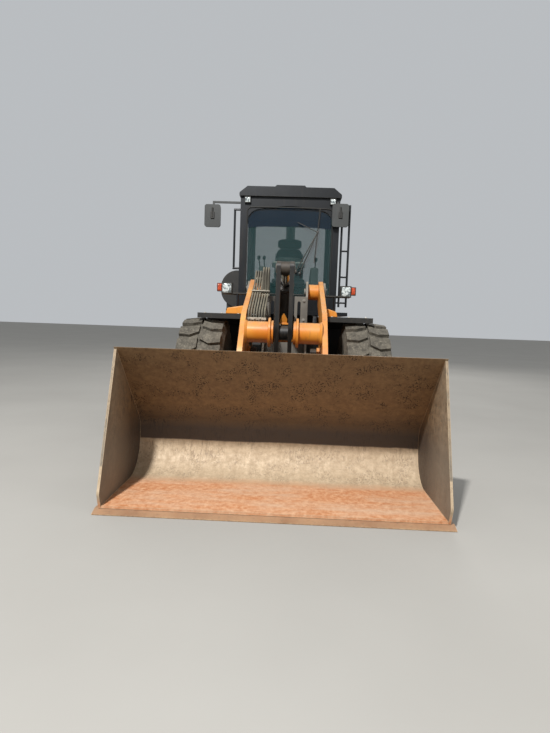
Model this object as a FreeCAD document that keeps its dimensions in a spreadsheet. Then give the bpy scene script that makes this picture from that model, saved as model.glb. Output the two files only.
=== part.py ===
import FreeCAD, Part
import math
import os
import re
import Sketcher
from FreeCAD import Placement, Rotation, Vector

# Articulated wheel loader with a Z-bar linkage, in millimetres.
# X is across the machine (+X is its left side), Y runs rearward and Z is up.
# The front half is drawn from the ground point under the front axle, and the rear half
# from the ground point under the rear axle, so both measure y rearward from their axle.

doc = FreeCAD.newDocument("WheelLoader")
sheet = doc.addObject("Spreadsheet::Sheet", "Sizes")
names = {}


def size(name, number):
    """Keep one driving dimension in the sheet and return its name."""
    cell = "A%d" % (len(names) + 1)
    sheet.set(cell, repr(number))
    sheet.setAlias(cell, name)
    names[name] = cell
    return name


def sizes(**numbers):
    for name, number in numbers.items():
        size(name, number)
    sheet.recompute()


def bound(text):
    """Write a formula in size names as an expression that points at the sheet."""
    def cell(hit):
        return "Sizes." + hit.group() if hit.group() in names else hit.group()
    return re.sub(r"[a-z][a-z_0-9]*", cell, str(text))


def value(text):
    number = sheet.evalExpression(bound(text))
    return float(getattr(number, "Value", number))


def bind(item, **formulas):
    for path, formula in formulas.items():
        item.setExpression(path.replace("__", "."), bound(formula))


def corners(piece, *rows):
    """Rows are (corner, across, up, rounding); plain numbers get a named size each."""
    outline = []
    for corner, *columns in rows:
        outline.append([])
        for column, number in zip(("across", "up", "round"), columns):
            if not isinstance(number, str):
                number = size("%s_%s_%s" % (piece, corner, column), number)
            outline[-1].append(number)
    sheet.recompute()
    return outline


def new_body(label, y="0", z="0"):
    item = doc.addObject("PartDesign::Body", label)
    item.AllowCompound = True
    bind(item, Placement__Base__y=y, Placement__Base__z=z)
    return item


def settle(item, *features):
    """Work out a body's new features and then the body itself."""
    for part in features + (item,):
        part.recompute()


def origin(item, role):
    return next(part for part in item.Origin.OriginFeatures if part.Role == role)


def sketch_on(item, name, plane, offset):
    sketch = item.newObject("Sketcher::SketchObject", name)
    sketch.AttachmentSupport = [(origin(item, plane + "_Plane"), "")]
    sketch.MapMode = "FlatFace"
    bind(sketch, AttachmentOffset__Base__z=offset)
    return sketch


def dimension(sketch, kind, formula, *where):
    number = sketch.addConstraint(Sketcher.Constraint(kind, *where, value(formula)))
    sketch.setExpression("Constraints[%d]" % number, bound(formula))


def draw_outline(sketch, outline):
    """Draw a closed outline of straight runs, where a corner with a third entry is rounded."""
    points = [Vector(value(row[0]), value(row[1]), 0) for row in outline]
    radii = [value(row[2]) if len(row) > 2 else 0.0 for row in outline]
    count = len(points)
    entries = []
    exits = []
    for i in range(count):
        before = (points[i - 1] - points[i]).normalize()
        after = (points[(i + 1) % count] - points[i]).normalize()
        half = before.getAngle(after) / 2
        reach = radii[i] / math.tan(half) if radii[i] else 0.0
        if reach > 0 and reach > (points[i - 1] - points[i]).Length:
            raise ValueError("%s: corner %d is rounded past its neighbour" % (sketch.Name, i))
        entries.append(points[i] + before * reach)
        exits.append(points[i] + after * reach)
    lines = [sketch.addGeometry(Part.LineSegment(exits[i], entries[(i + 1) % count]), False)
             for i in range(count)]
    for i, row in enumerate(outline):
        before = lines[i - 1]
        after = lines[i]
        if not radii[i]:
            sketch.addConstraint(Sketcher.Constraint("Coincident", before, 2, after, 1))
            dimension(sketch, "DistanceX", row[0], after, 1)
            dimension(sketch, "DistanceY", row[1], after, 1)
            continue
        along = (points[i] - entries[i]).normalize()
        turn = along.cross(exits[i] - points[i]).z
        side = Vector(-along.y, along.x, 0) * (1 if turn > 0 else -1)
        centre = entries[i] + side * radii[i]
        ends = (entries[i], exits[i]) if turn > 0 else (exits[i], entries[i])
        angles = [math.atan2(end.y - centre.y, end.x - centre.x) for end in ends]
        circle = Part.Circle(centre, Vector(0, 0, 1), radii[i])
        arc = sketch.addGeometry(Part.ArcOfCircle(circle, angles[0], angles[1]), False)
        first, last = (1, 2) if turn > 0 else (2, 1)
        sketch.addConstraint(Sketcher.Constraint("Tangent", before, 2, arc, first))
        sketch.addConstraint(Sketcher.Constraint("Tangent", arc, last, after, 1))
        point = sketch.addGeometry(Part.Point(points[i]), True)
        sketch.addConstraint(Sketcher.Constraint("PointOnObject", point, 1, before))
        sketch.addConstraint(Sketcher.Constraint("PointOnObject", point, 1, after))
        dimension(sketch, "DistanceX", row[0], point, 1)
        dimension(sketch, "DistanceY", row[1], point, 1)
        dimension(sketch, "Radius", row[2], arc)


def draw_circle(sketch, across, up, radius):
    centre = Vector(value(across), value(up), 0)
    circle = sketch.addGeometry(Part.Circle(centre, Vector(0, 0, 1), value(radius)), False)
    dimension(sketch, "DistanceX", across, circle, 3)
    dimension(sketch, "DistanceY", up, circle, 3)
    dimension(sketch, "Radius", radius, circle)


def extrude(item, name, plane, start, depth, draw, cut=False):
    """Add or cut a straight block that starts at a station and runs along the positive axis."""
    facing = plane == "XZ"
    if cut:
        station = "-(%s)" % start if facing else "%s + %s" % (start, depth)
    else:
        station = "-(%s)" % start if facing else start
    sketch = sketch_on(item, name + "_sketch", plane, station)
    draw(sketch)
    feature = item.newObject("PartDesign::Pocket" if cut else "PartDesign::Pad", name)
    feature.Profile = sketch
    feature.Reversed = facing and not cut
    bind(feature, Length=depth)
    base = item.Shape.Volume if cut else 0.0
    settle(item, sketch, feature)
    if cut and not item.Shape.Volume < base - 1:
        raise ValueError(name + " cuts nothing")
    return feature


def plate(item, name, plane, start, depth, outline):
    return extrude(item, name, plane, start, depth, lambda sketch: draw_outline(sketch, outline))


def opening(item, name, plane, start, depth, outline):
    return extrude(item, name, plane, start, depth,
                   lambda sketch: draw_outline(sketch, outline), True)


def disc(item, name, plane, start, depth, across, up, radius, bore=None):
    def draw(sketch):
        draw_circle(sketch, across, up, radius)
        if bore:
            draw_circle(sketch, across, up, bore)
    return extrude(item, name, plane, start, depth, draw)


def bore(item, name, plane, start, depth, across, up, radius):
    return extrude(item, name, plane, start, depth,
                   lambda sketch: draw_circle(sketch, across, up, radius), True)


def box(item, name, left, right, front, back, low, high):
    """A rectangular block between two stations on each axis."""
    outline = [(left, front), (right, front), (right, back), (left, back)]
    return plate(item, name, "XY", low, "(%s) - (%s)" % (high, low), outline)


def turned(item, name, outline):
    """Turn an outline of (x, radius) rows about the body's X axis."""
    sketch = sketch_on(item, name + "_sketch", "XY", "0")
    draw_outline(sketch, outline)
    feature = item.newObject("PartDesign::Revolution", name)
    feature.Profile = sketch
    feature.ReferenceAxis = (sketch, ["H_Axis"])
    feature.Angle = 360
    settle(item, sketch, feature)
    return feature


def lofted(item, name, sections, cut=False):
    """Join outlines that stand across the machine at several stations by straight runs."""
    sketches = []
    for number, (station, outline) in enumerate(sections):
        sketch = sketch_on(item, "%s_section_%d" % (name, number), "XZ", "-(%s)" % station)
        draw_outline(sketch, outline)
        sketch.recompute()
        sketches.append(sketch)
    kind = "SubtractiveLoft" if cut else "AdditiveLoft"
    feature = item.newObject("PartDesign::" + kind, name)
    feature.Profile = sketches[0]
    feature.Sections = sketches[1:]
    feature.Ruled = True
    settle(item, feature)
    return feature


def mirrored(item, features, plane="YZ"):
    feature = item.newObject("PartDesign::Mirrored", features[-1].Name + "_pair")
    feature.Originals = features
    feature.MirrorPlane = (origin(item, plane + "_Plane"), [""])
    item.Tip = feature
    settle(item, feature)
    return feature


def repeated(item, features, axis, spacing, count):
    feature = item.newObject("PartDesign::LinearPattern", features[-1].Name + "_row")
    feature.Originals = features
    feature.Direction = (origin(item, axis + "_Axis"), [""])
    feature.Mode = "Spacing"
    bind(feature, Offset=spacing, Occurrences=count)
    item.Tip = feature
    settle(item, feature)
    return feature


# Overall places. The y of both axles puts the origin under the middle of the machine.
sizes(wheelbase=2900, front_reach=2630, rear_reach=1860, pivot_back=1450, track=1920)
FRONT = "-(wheelbase + rear_reach - front_reach) / 2"
REAR = FRONT + " + wheelbase"
PIVOT_REAR = "(pivot_back - wheelbase)"

# Running clearances between pieces that turn or slide, and between pieces that are seated.
sizes(pin_gap=0.5, side_gap=6, seat_gap=0.3)

# Pins of the loader linkage, as (y forward of the front axle is negative, z).
sizes(boom_pivot_y=400, boom_pivot_z=1860, bucket_pivot_y=-1460, bucket_pivot_z=400,
      crank_pivot_y=-850, crank_pivot_z=1358, crank_top_y=-876, crank_top_z=2030,
      crank_foot_y=-610, crank_foot_z=631, link_pin_y=-1389, link_pin_z=813,
      tilt_base_y=269, tilt_base_z=1490, lift_base_y=750, lift_base_z=900,
      lift_pin_y=-450, lift_pin_z=1120)


# Tyres: a ring of straight facets with a bent lug on alternate sides at every pitch.
sizes(tyre_radius=745, tyre_width=540, lug_height=36, lug_count=20, lug_share=0.62,
      bead_radius=318, rim_width=460, bead_gap=0.3, bead_inset=6)


def tyre_shape():
    """Build the tyre as one closed shell from rings of points, axle along X."""
    outer = value("tyre_radius")
    half = value("tyre_width") / 2
    floor = outer - value("lug_height")
    pitches = int(value("lug_count"))
    pitch = 2 * math.pi / pitches
    share = value("lug_share")
    # Each row is (share of the half width, drop of the lug top, drop of the floor, skew).
    tread = [(0.05, 0.0, 0.0, 0.0), (0.42, 2.0, 4.0, 0.24), (0.90, 20.0, 26.0, 0.10)]
    # Each row is (share of the half width, radius) from the shoulder to the bead.
    wall = [(1.0, 0.80 * outer), (0.90, 0.60 * outer)]
    bead = value("rim_width / 2 - bead_inset")
    # The longest facet of the bore still clears the round barrel at its middle.
    bore_radius = value("bead_radius + bead_gap") / math.cos(max(share, 1 - share) * pitch / 2)

    def point(x, radius, angle):
        return Vector(x, radius * math.sin(angle), -radius * math.cos(angle))

    faces = []

    def quad(a, b, c, d):
        for three in ((a, b, c), (a, c, d)):
            faces.append(Part.Face(Part.makePolygon(list(three) + [three[0]])))

    middle = {}
    bores = {}
    for side in (1, -1):
        rings = []
        for step in range(2 * pitches):
            start = (step // 2 + (0.0 if side > 0 else 0.5)) * pitch
            turn = start + (share * pitch if step % 2 else 0.0)
            column = []
            for across, top_drop, floor_drop, skew in tread:
                angle = turn + skew * pitch
                x = side * across * half
                column.append((point(x, outer - top_drop, angle),
                               point(x, floor - floor_drop, angle)))
            angle = turn + tread[-1][3] * pitch
            for across, radius in wall:
                column.append(point(side * across * half, radius, angle))
            column.append(point(side * bead, bore_radius, angle))
            rings.append(column)
        for step, column in enumerate(rings):
            after = rings[(step + 1) % len(rings)]
            level = step % 2
            for row in range(len(tread) - 1):
                quad(column[row][level], column[row + 1][level],
                     after[row + 1][level], after[row][level])
                quad(column[row][0], column[row + 1][0], column[row + 1][1], column[row][1])
            if not level:
                for row in (0, len(tread) - 1):
                    quad(column[row][0], after[row][0], after[row][1], column[row][1])
            quad(column[2][1], column[3], after[3], after[2][1])
            quad(column[3], column[4], after[4], after[3])
            quad(column[4], column[5], after[5], after[4])
        middle[side] = [column[0][1] for column in rings]
        bores[side] = [column[5] for column in rings]

    def angle_of(place):
        return math.atan2(place.y, -place.z) % (2 * math.pi)

    def bridge(left, right):
        """Close the strip between two rings whose points stand at different angles."""
        left = sorted(left, key=angle_of)
        right = sorted(right, key=angle_of)
        i = j = 0
        while i < len(left) or j < len(right):
            a = left[i % len(left)]
            b = right[j % len(right)]
            turn_a = angle_of(left[(i + 1) % len(left)]) + 2 * math.pi * ((i + 1) // len(left))
            turn_b = angle_of(right[(j + 1) % len(right)]) + 2 * math.pi * ((j + 1) // len(right))
            if j >= len(right) or (i < len(left) and turn_a < turn_b):
                c = left[(i + 1) % len(left)]
                i += 1
            else:
                c = right[(j + 1) % len(right)]
                j += 1
            faces.append(Part.Face(Part.makePolygon([a, b, c, a])))

    bridge(middle[1], middle[-1])
    bridge(bores[1], bores[-1])
    solid = Part.Solid(Part.Shell(faces))
    if solid.Volume < 0:
        solid.reverse()
    return solid


WHEELS = [("front_left", FRONT, 1), ("front_right", FRONT, -1),
          ("rear_left", REAR, 1), ("rear_right", REAR, -1)]

# Rims: a drop-centre barrel, a dished disc and the planetary hub that turns with it.
sizes(rim_wall=14, flange_radius=345, disc_x=60, disc_thick=22, hub_radius=165, hub_reach=150,
      hub_face=110, well_radius=285)


def rim_body(label, y, side):
    """One wheel: x is measured outward from the middle of the tyre."""
    item = new_body(label, y, "tyre_radius")
    bind(item, Placement__Base__x="%d * track / 2" % side)
    if side < 0:
        item.Placement.Rotation = Rotation(Vector(0, 0, 1), 180)
    barrel = "bead_radius"
    outline = [
        ("-rim_width / 2 - rim_wall", "bead_radius - rim_wall"),
        ("-rim_width / 2 - rim_wall", "flange_radius"),
        ("-rim_width / 2", "flange_radius"),
        ("-rim_width / 2", barrel),
        ("rim_width / 2", barrel),
        ("rim_width / 2", "flange_radius"),
        ("rim_width / 2 + rim_wall", "flange_radius"),
        ("rim_width / 2 + rim_wall", "bead_radius - 2 * rim_wall"),
        ("disc_x", "well_radius - 3 * rim_wall"),
        ("disc_x - hub_face / 2", "hub_radius"),
        ("hub_reach", "hub_radius - rim_wall"),
        ("hub_reach", "0"),
        ("disc_x - hub_face", "0"),
        ("disc_x - hub_face", "hub_radius"),
        ("disc_x - disc_thick", "well_radius - rim_wall"),
    ]
    turned(item, label + "_turned", outline)
    return item


tyre = tyre_shape()
for place, axle, side in WHEELS:
    ring = doc.addObject("Part::Feature", "tyre_" + place)
    ring.Shape = tyre.copy()
    bind(ring, Placement__Base__x="%d * track / 2" % side, Placement__Base__y=axle,
         Placement__Base__z="tyre_radius")
    rim_body("rim_" + place, axle, side)


# Axles: a bowl in the middle, tapered arms and the final drives at the ends.
sizes(bowl_radius=205, bowl_half=120, bowl_neck=112, arm_root=125, arm_tip=98, drive_radius=185,
      drive_x=560, stub_radius=130, pad_half_y=150, pad_in=255, pad_out=310, pad_top=885,
      trunnion_radius=80, trunnion_reach=360)


AXLE_END = "(track / 2 + disc_x - hub_face - seat_gap)"


def axle_body(label, y):
    item = new_body(label, y, "tyre_radius")
    half = [("bowl_half", "bowl_radius"), ("bowl_half + bowl_neck", "arm_root"), ("drive_x", "arm_tip"),
            ("drive_x", "drive_radius"), ("drive_x + 130", "drive_radius"),
            ("drive_x + 150", "stub_radius"), (AXLE_END, "stub_radius")]
    outline = [(AXLE_END, "0"), ("-" + AXLE_END, "0")]
    outline += [("-(%s)" % across, radius) for across, radius in reversed(half)]
    outline += half
    turned(item, label + "_turned", outline)
    return item


front_axle = axle_body("front_axle", FRONT)
pad = box(front_axle, "front_axle_pad", "pad_in", "pad_out", "-pad_half_y", "pad_half_y",
          "0", "pad_top - tyre_radius")
mirrored(front_axle, [pad])
rear_axle = axle_body("rear_axle", REAR)
disc(rear_axle, "rear_axle_trunnion", "XZ", "-trunnion_reach", "2 * trunnion_reach", "0", "0",
     "trunnion_radius")


# Front frame: inner and outer tower plates, slotted front plate, shelves and hinge lugs.
sizes(tower_in=247, tower_plate=25, tower_out=468, front_plate_y=140, front_plate_thick=20,
      slot_x=165, slot_half=20, slot_low=1430, slot_high=1730, tilt_gap_half=108,
      boom_pin=45, lift_pin=32, lug_reach=110, hinge_pin=42, lug_thick=60,
      upper_lug_z=1150, lower_lug_z=560, fork_thick=30, steer_ear_x=385, steer_ear_y=1100,
      steer_z=880, steer_eye_half=40, steer_ear_thick=20, steer_ear_radius=55,
      tilt_eye_half=45, tilt_lug_thick=25, tilt_lug_radius=75, tilt_pin=38)

INNER_TOWER = corners(
    "inner",
    ("nose_foot", "-pad_half_y", "pad_top"),
    ("axle_foot", "pad_half_y", "pad_top"),
    ("belly_front", 240, 500, 60),
    ("belly_rear", 1230, 480),
    ("hinge_top", "inner_belly_rear_across", 1290),
    ("deck", 720, 1290, 160),
    ("shoulder", 585, 1700, 200),
    ("crown_back", "boom_pivot_y + 135", "boom_pivot_z + 130", 120),
    ("crown_front", "boom_pivot_y - 150", "boom_pivot_z + 130", 120),
    ("brow", "front_plate_y", 1790, 60),
    ("throat", "front_plate_y", 1330, 120),
    ("nose", "-pad_half_y", 1050, 80))
OUTER_TOWER = corners(
    "outer",
    ("heel", 890, 780, 60),
    ("back", 890, 1010, 60),
    ("shoulder", 560, 1560, 200),
    ("crown_back", "boom_pivot_y + 120", "boom_pivot_z + 120", 110),
    ("crown_front", "boom_pivot_y - 120", "boom_pivot_z + 120", 110),
    ("front", 210, 1500, 120),
    ("toe", 180, 780, 60))

front_frame = new_body("front_frame", FRONT)
pair = [plate(front_frame, "inner_tower", "YZ", "tower_in", "tower_plate", INNER_TOWER),
        plate(front_frame, "outer_tower", "YZ", "tower_out", "tower_plate", OUTER_TOWER),
        disc(front_frame, "boom_pivot_pin", "YZ", "tower_in - 20",
             "tower_out + tower_plate + 40 - tower_in", "boom_pivot_y", "boom_pivot_z", "boom_pin"),
        disc(front_frame, "lift_base_pin", "YZ", "tower_in - 15",
             "tower_out + tower_plate + 30 - tower_in", "lift_base_y", "lift_base_z", "lift_pin")]
mirrored(front_frame, pair)
box(front_frame, "tower_shelf", "-tower_out - tower_plate / 2", "tower_out + tower_plate / 2",
    "outer_toe_across + 60", "outer_heel_across - 40", "outer_heel_up", "outer_heel_up + tower_plate")
box(front_frame, "belly_plate", "-tower_in - tower_plate", "tower_in + tower_plate",
    "inner_belly_front_across + 60", "inner_belly_rear_across", "inner_belly_front_up",
    "inner_belly_front_up + tower_plate")
sizes(front_plate_low=1000, front_plate_high=1790, tilt_gap_low=1330)
plate(front_frame, "front_plate", "XZ", "front_plate_y", "front_plate_thick", [
    ("-tower_in", "front_plate_low"), ("tower_in", "front_plate_low"),
    ("tower_in", "front_plate_high"), ("tilt_gap_half", "front_plate_high"),
    ("tilt_gap_half", "tilt_gap_low", "slot_half"), ("-tilt_gap_half", "tilt_gap_low", "slot_half"),
    ("-tilt_gap_half", "front_plate_high"), ("-tower_in", "front_plate_high")])
slot = opening(front_frame, "front_slot", "XZ", "front_plate_y - 5", "front_plate_thick + 10", [
    ("slot_x - slot_half", "slot_low", "slot_half - 1"),
    ("slot_x + slot_half", "slot_low", "slot_half - 1"),
    ("slot_x + slot_half", "slot_high", "slot_half - 1"),
    ("slot_x - slot_half", "slot_high", "slot_half - 1")])
mirrored(front_frame, [slot])
sizes(tilt_shelf_low=1345, tilt_shelf_back=430)
box(front_frame, "tilt_shelf", "-tower_in", "tower_in", "front_plate_y", "tilt_shelf_back",
    "tilt_shelf_low", "tilt_shelf_low + front_plate_thick")
tilt_lug = plate(front_frame, "tilt_lug", "YZ", "tilt_eye_half + side_gap / 2", "tilt_lug_thick", [
    ("tilt_base_y - tilt_lug_radius", "tilt_shelf_low"),
    ("tilt_base_y + tilt_lug_radius", "tilt_shelf_low"),
    ("tilt_base_y + tilt_lug_radius", "tilt_base_z + tilt_lug_radius", "tilt_lug_radius - 5"),
    ("tilt_base_y - tilt_lug_radius", "tilt_base_z + tilt_lug_radius", "tilt_lug_radius - 5")])
mirrored(front_frame, [tilt_lug])
disc(front_frame, "tilt_base_pin", "YZ", "-(tilt_eye_half + side_gap / 2 + tilt_lug_thick + 8)",
     "2 * (tilt_eye_half + side_gap / 2 + tilt_lug_thick + 8)", "tilt_base_y", "tilt_base_z", "tilt_pin")
sizes(hinge_plate_thick=25, shaft_gap_half=120, shaft_gap_low=760,
      shaft_gap_high=1010, lug_root_half=170)
plate(front_frame, "hinge_plate", "XZ", "inner_belly_rear_across - hinge_plate_thick",
      "hinge_plate_thick", [
          ("-tower_in - tower_plate", "inner_belly_rear_up"),
          ("tower_in + tower_plate", "inner_belly_rear_up"),
          ("tower_in + tower_plate", "inner_hinge_top_up"),
          ("-tower_in - tower_plate", "inner_hinge_top_up")])
opening(front_frame, "shaft_gap", "XZ", "inner_belly_rear_across - hinge_plate_thick - 5",
        "hinge_plate_thick + 10", [
            ("-shaft_gap_half", "shaft_gap_low"), ("shaft_gap_half", "shaft_gap_low"),
            ("shaft_gap_half", "shaft_gap_high"), ("-shaft_gap_half", "shaft_gap_high")])
LUG = [("-lug_root_half", "inner_belly_rear_across - hinge_plate_thick"),
       ("lug_root_half", "inner_belly_rear_across - hinge_plate_thick"),
       ("lug_reach", "pivot_back + lug_reach", "lug_reach - 8"),
       ("-lug_reach", "pivot_back + lug_reach", "lug_reach - 8")]
for level in ("upper", "lower"):
    plate(front_frame, level + "_lug", "XY", level + "_lug_z", "lug_thick", LUG)
    bore(front_frame, level + "_lug_bore", "XY", level + "_lug_z - 5", "lug_thick + 10",
         "0", "pivot_back", "hinge_pin + pin_gap")
ears = [plate(front_frame, level + "_steer_ear", "XY", start, "steer_ear_thick", [
            ("tower_in + tower_plate / 2", "steer_ear_y - steer_ear_radius"),
            ("steer_ear_x + steer_ear_radius", "steer_ear_y - steer_ear_radius", "steer_ear_radius - 5"),
            ("steer_ear_x + steer_ear_radius", "steer_ear_y + steer_ear_radius", "steer_ear_radius - 5"),
            ("tower_in + tower_plate / 2", "steer_ear_y + steer_ear_radius")])
        for level, start in (("high", "steer_z + steer_eye_half + side_gap / 2"),
                             ("low", "steer_z - steer_eye_half - side_gap / 2 - steer_ear_thick"))]
mirrored(front_frame, ears)

# Hinge pins stand upright through the lugs of the front frame and the forks of the rear one.
hinge_pins = new_body("hinge_pins", FRONT)
sizes(pin_head=16)
for level in ("upper", "lower"):
    disc(hinge_pins, level + "_pin", "XY", level + "_lug_z - side_gap - fork_thick - pin_head",
         "lug_thick + 2 * (side_gap + fork_thick + pin_head)", "0", "pivot_back", "hinge_pin")

# Front fenders: a crowned sheet over each tyre, bolted to the side of the tower.
sizes(fender_in=493, fender_out=1030, fender_thick=14, fender_z=1548, fender_front=-250,
      fender_bend=430, fender_back=740, fender_back_z=1400, fender_skirt=60)
front_fenders = new_body("front_fenders", FRONT)
sheet_top = plate(front_fenders, "front_fender", "YZ", "fender_in", "fender_out - fender_in", [
    ("fender_front", "fender_z - fender_skirt"), ("fender_front + fender_thick", "fender_z - fender_skirt"),
    ("fender_front + fender_thick", "fender_z - fender_thick"),
    ("fender_bend", "fender_z - fender_thick", "fender_bend / 2"),
    ("fender_back", "fender_back_z - fender_thick"), ("fender_back", "fender_back_z"),
    ("fender_bend", "fender_z", "fender_bend / 2 + fender_thick"), ("fender_front", "fender_z")])
mirrored(front_fenders, [sheet_top])

# Headlamps: a bracket arm from the tower, a square lamp and a turn lamp outboard of it.
sizes(lamp_x=730, lamp_z=1870, lamp_y=50, lamp_half_w=66, lamp_half_h=60, lamp_deep=90,
      turn_out=852, turn_half_h=50, bracket_z=1795, bracket_high=16, bracket_back=330)
headlamps = new_body("headlamps", FRONT)
pieces = [
    box(headlamps, "lamp_bracket", "tower_out + tower_plate", "lamp_x + lamp_half_w",
        "lamp_y + 20", "bracket_back", "bracket_z", "bracket_z + bracket_high"),
    box(headlamps, "lamp_box", "lamp_x - lamp_half_w", "lamp_x + lamp_half_w", "lamp_y",
        "lamp_y + lamp_deep", "bracket_z", "lamp_z + lamp_half_h"),
    box(headlamps, "turn_lamp", "lamp_x + lamp_half_w - 5", "turn_out", "lamp_y + 8",
        "lamp_y + lamp_deep - 10", "lamp_z - turn_half_h", "lamp_z + turn_half_h")]
mirrored(headlamps, pieces)


# Boom: two plate arms with a hub at each end, joined by the cross tube.
sizes(arm_in=407, arm_thick=55, arm_hub=98, arm_hub_in=278, tip_hub=92, toe_margin=4, toe_rise=32,
      throat_in=60, throat_rise=201, tip_hub_in=385,
      tip_hub_out=482, lift_x=338, lift_eye_half=32, bucket_pin=38, lift_boss=70,
      tube_radius=112, tube_wall=20, crank_lug_in=105, crank_lug_thick=40, crank_lug_radius=125,
      crank_pin=40, bridge_near=250, bridge_far=285, bridge_low=110, bridge_high=10)
ARM = corners(
    "arm",
    ("heel_low", "boom_pivot_y + 100", "boom_pivot_z - 135", 90),
    ("belly", -60, 1510, 200),
    ("lobe_back", -330, 1120, 100),
    ("lobe_low", -455, 1010, 70),
    ("lobe_front", -600, 1110, 70),
    ("shin", -1210, 480, 200),
    ("toe_low", "bucket_pivot_y + 60", "bucket_pivot_z - tip_hub", 60),
    ("toe_front", "bucket_pivot_y - tip_hub", "bucket_pivot_z - tip_hub", "tip_hub - toe_margin"),
    ("toe_top", "bucket_pivot_y - tip_hub", "bucket_pivot_z + toe_rise", "tip_hub - toe_margin"),
    ("throat", "bucket_pivot_y + throat_in", "bucket_pivot_z + throat_rise", 300),
    ("wrist", -1090, 1210, 300),
    ("knee", -760, 1560, 260),
    ("crown", "boom_pivot_y - 20", "boom_pivot_z + 150", 120),
    ("heel_high", "boom_pivot_y + 135", "boom_pivot_z + 60", 90))
boom_arms = new_body("boom_arms", FRONT)
pieces = [
    plate(boom_arms, "arm_plate", "YZ", "arm_in", "arm_thick", ARM),
    disc(boom_arms, "arm_hub_disc", "YZ", "arm_hub_in", "arm_in + arm_thick - arm_hub_in",
         "boom_pivot_y", "boom_pivot_z", "arm_hub"),
    disc(boom_arms, "tip_hub_disc", "YZ", "tip_hub_in", "tip_hub_out - tip_hub_in",
         "bucket_pivot_y", "bucket_pivot_z", "tip_hub"),
    disc(boom_arms, "lift_boss_disc", "YZ", "lift_x + lift_eye_half + side_gap",
         "arm_in - lift_x - lift_eye_half - side_gap + 5", "lift_pin_y", "lift_pin_z", "lift_boss"),
    bore(boom_arms, "arm_hub_bore", "YZ", "arm_hub_in - 5", "arm_in + arm_thick - arm_hub_in + 10",
         "boom_pivot_y", "boom_pivot_z", "boom_pin + pin_gap"),
    bore(boom_arms, "tip_hub_bore", "YZ", "tip_hub_in - 5", "tip_hub_out - tip_hub_in + 10",
         "bucket_pivot_y", "bucket_pivot_z", "bucket_pin + pin_gap")]
mirrored(boom_arms, pieces)

cross_tube = new_body("boom_cross_tube", FRONT)
pieces = [
    disc(cross_tube, "tube", "YZ", "crank_lug_in", "arm_in - crank_lug_in", "crank_pivot_y",
         "crank_pivot_z", "tube_radius", "tube_radius - tube_wall"),
    plate(cross_tube, "crank_lug", "YZ", "crank_lug_in", "crank_lug_thick", [
        ("crank_pivot_y + bridge_far", "crank_pivot_z - bridge_low"),
        ("crank_pivot_y - crank_lug_radius", "crank_pivot_z - crank_lug_radius", "crank_lug_radius - 8"),
        ("crank_pivot_y - crank_lug_radius", "crank_pivot_z + crank_lug_radius", "crank_lug_radius - 8"),
        ("crank_pivot_y + crank_lug_radius / 2", "crank_pivot_z + crank_lug_radius",
         "crank_lug_radius / 2"),
        ("crank_pivot_y + bridge_far", "crank_pivot_z - bridge_high")]),
    bore(cross_tube, "crank_lug_bore", "YZ", "crank_lug_in - 5", "crank_lug_thick + 10",
         "crank_pivot_y", "crank_pivot_z", "crank_pin + pin_gap")]
mirrored(cross_tube, pieces)
box(cross_tube, "lug_bridge", "-crank_lug_in - 5", "crank_lug_in + 5", "crank_pivot_y + bridge_near",
    "crank_pivot_y + bridge_far", "crank_pivot_z - bridge_low", "crank_pivot_z - bridge_high")

# Boom hoses: two banks from a valve block on the cross tube. The outer bank ends on the arm's
# hub, and the inner one bends over into a block beside the tower, both on the machine's right.
sizes(hose_radius=11, hose_first=19, hose_step=29, outer_bank=4, inner_bank=3, block_edge=18,
      valve_deep=78, valve_low=30, valve_high=95, hub_block_half=50, hub_block_high=46,
      end_block_y=75, end_block_half=35, end_block_z=1815, end_block_high=35,
      hose_bend=90, hose_wide_bend=200, hose_knee_z=1575, hose_rise_y=60, hose_rise_z=1900,
      hose_top_z=2215, loop_back_y=-125, loop_foot_z=1800, loop_top_z=2110)


def block(x_low, x_high, y_low, y_high, z_low, z_high):
    low = Vector(value(x_low), value(y_low), value(z_low))
    span = Vector(value(x_high), value(y_high), value(z_high)) - low
    return Part.makeBox(span.x, span.y, span.z, low)


def hose(x, route):
    """A tube along straight runs in a plane across X, each corner bent to its own radius."""
    points = [Vector(x, value(row[0]), value(row[1])) for row in route]
    edges = []
    start = points[0]
    for i in range(1, len(points) - 1):
        before = (points[i - 1] - points[i]).normalize()
        after = (points[i + 1] - points[i]).normalize()
        half = before.getAngle(after) / 2
        bend = value(route[i][2])
        into = points[i] + before * (bend / math.tan(half))
        out = points[i] + after * (bend / math.tan(half))
        centre = points[i] + (before + after).normalize() * (bend / math.sin(half))
        middle = centre + (points[i] - centre).normalize() * bend
        edges += [Part.makeLine(start, into), Part.Arc(into, middle, out).toShape()]
        start = out
    edges.append(Part.makeLine(start, points[-1]))
    mouth = Part.Wire(Part.makeCircle(value("hose_radius"), points[0], points[1] - points[0]))
    return Part.Wire(edges).makePipeShell([mouth], True, False)


# Each row is (y, z, bend) along one hose; the ends have no bend and sink a little into a block.
VALVE_Y = "crank_pivot_y + tube_radius + seat_gap + valve_deep / 2"
VALVE_TOP = "crank_pivot_z + valve_high"
HUB_TOP = "boom_pivot_z + arm_hub + seat_gap + hub_block_high"
END_TOP = "end_block_z + end_block_high"
OUTER_ROUTE = [(VALVE_Y, VALVE_TOP + " - 5"), (VALVE_Y, "hose_knee_z", "hose_bend"),
               ("hose_rise_y", "hose_rise_z", "hose_wide_bend"),
               ("boom_pivot_y", "hose_top_z", "hose_bend"), ("boom_pivot_y", HUB_TOP + " - 5")]
INNER_ROUTE = [(VALVE_Y, VALVE_TOP + " - 5"), (VALVE_Y, "hose_knee_z", "hose_bend"),
               ("loop_back_y", "loop_foot_z", "hose_bend"), ("loop_back_y", "loop_top_z", "hose_bend"),
               ("end_block_y", "loop_top_z", "hose_bend"), ("end_block_y", END_TOP + " - 5")]
ARM_FACE = "-arm_in + seat_gap"
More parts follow.
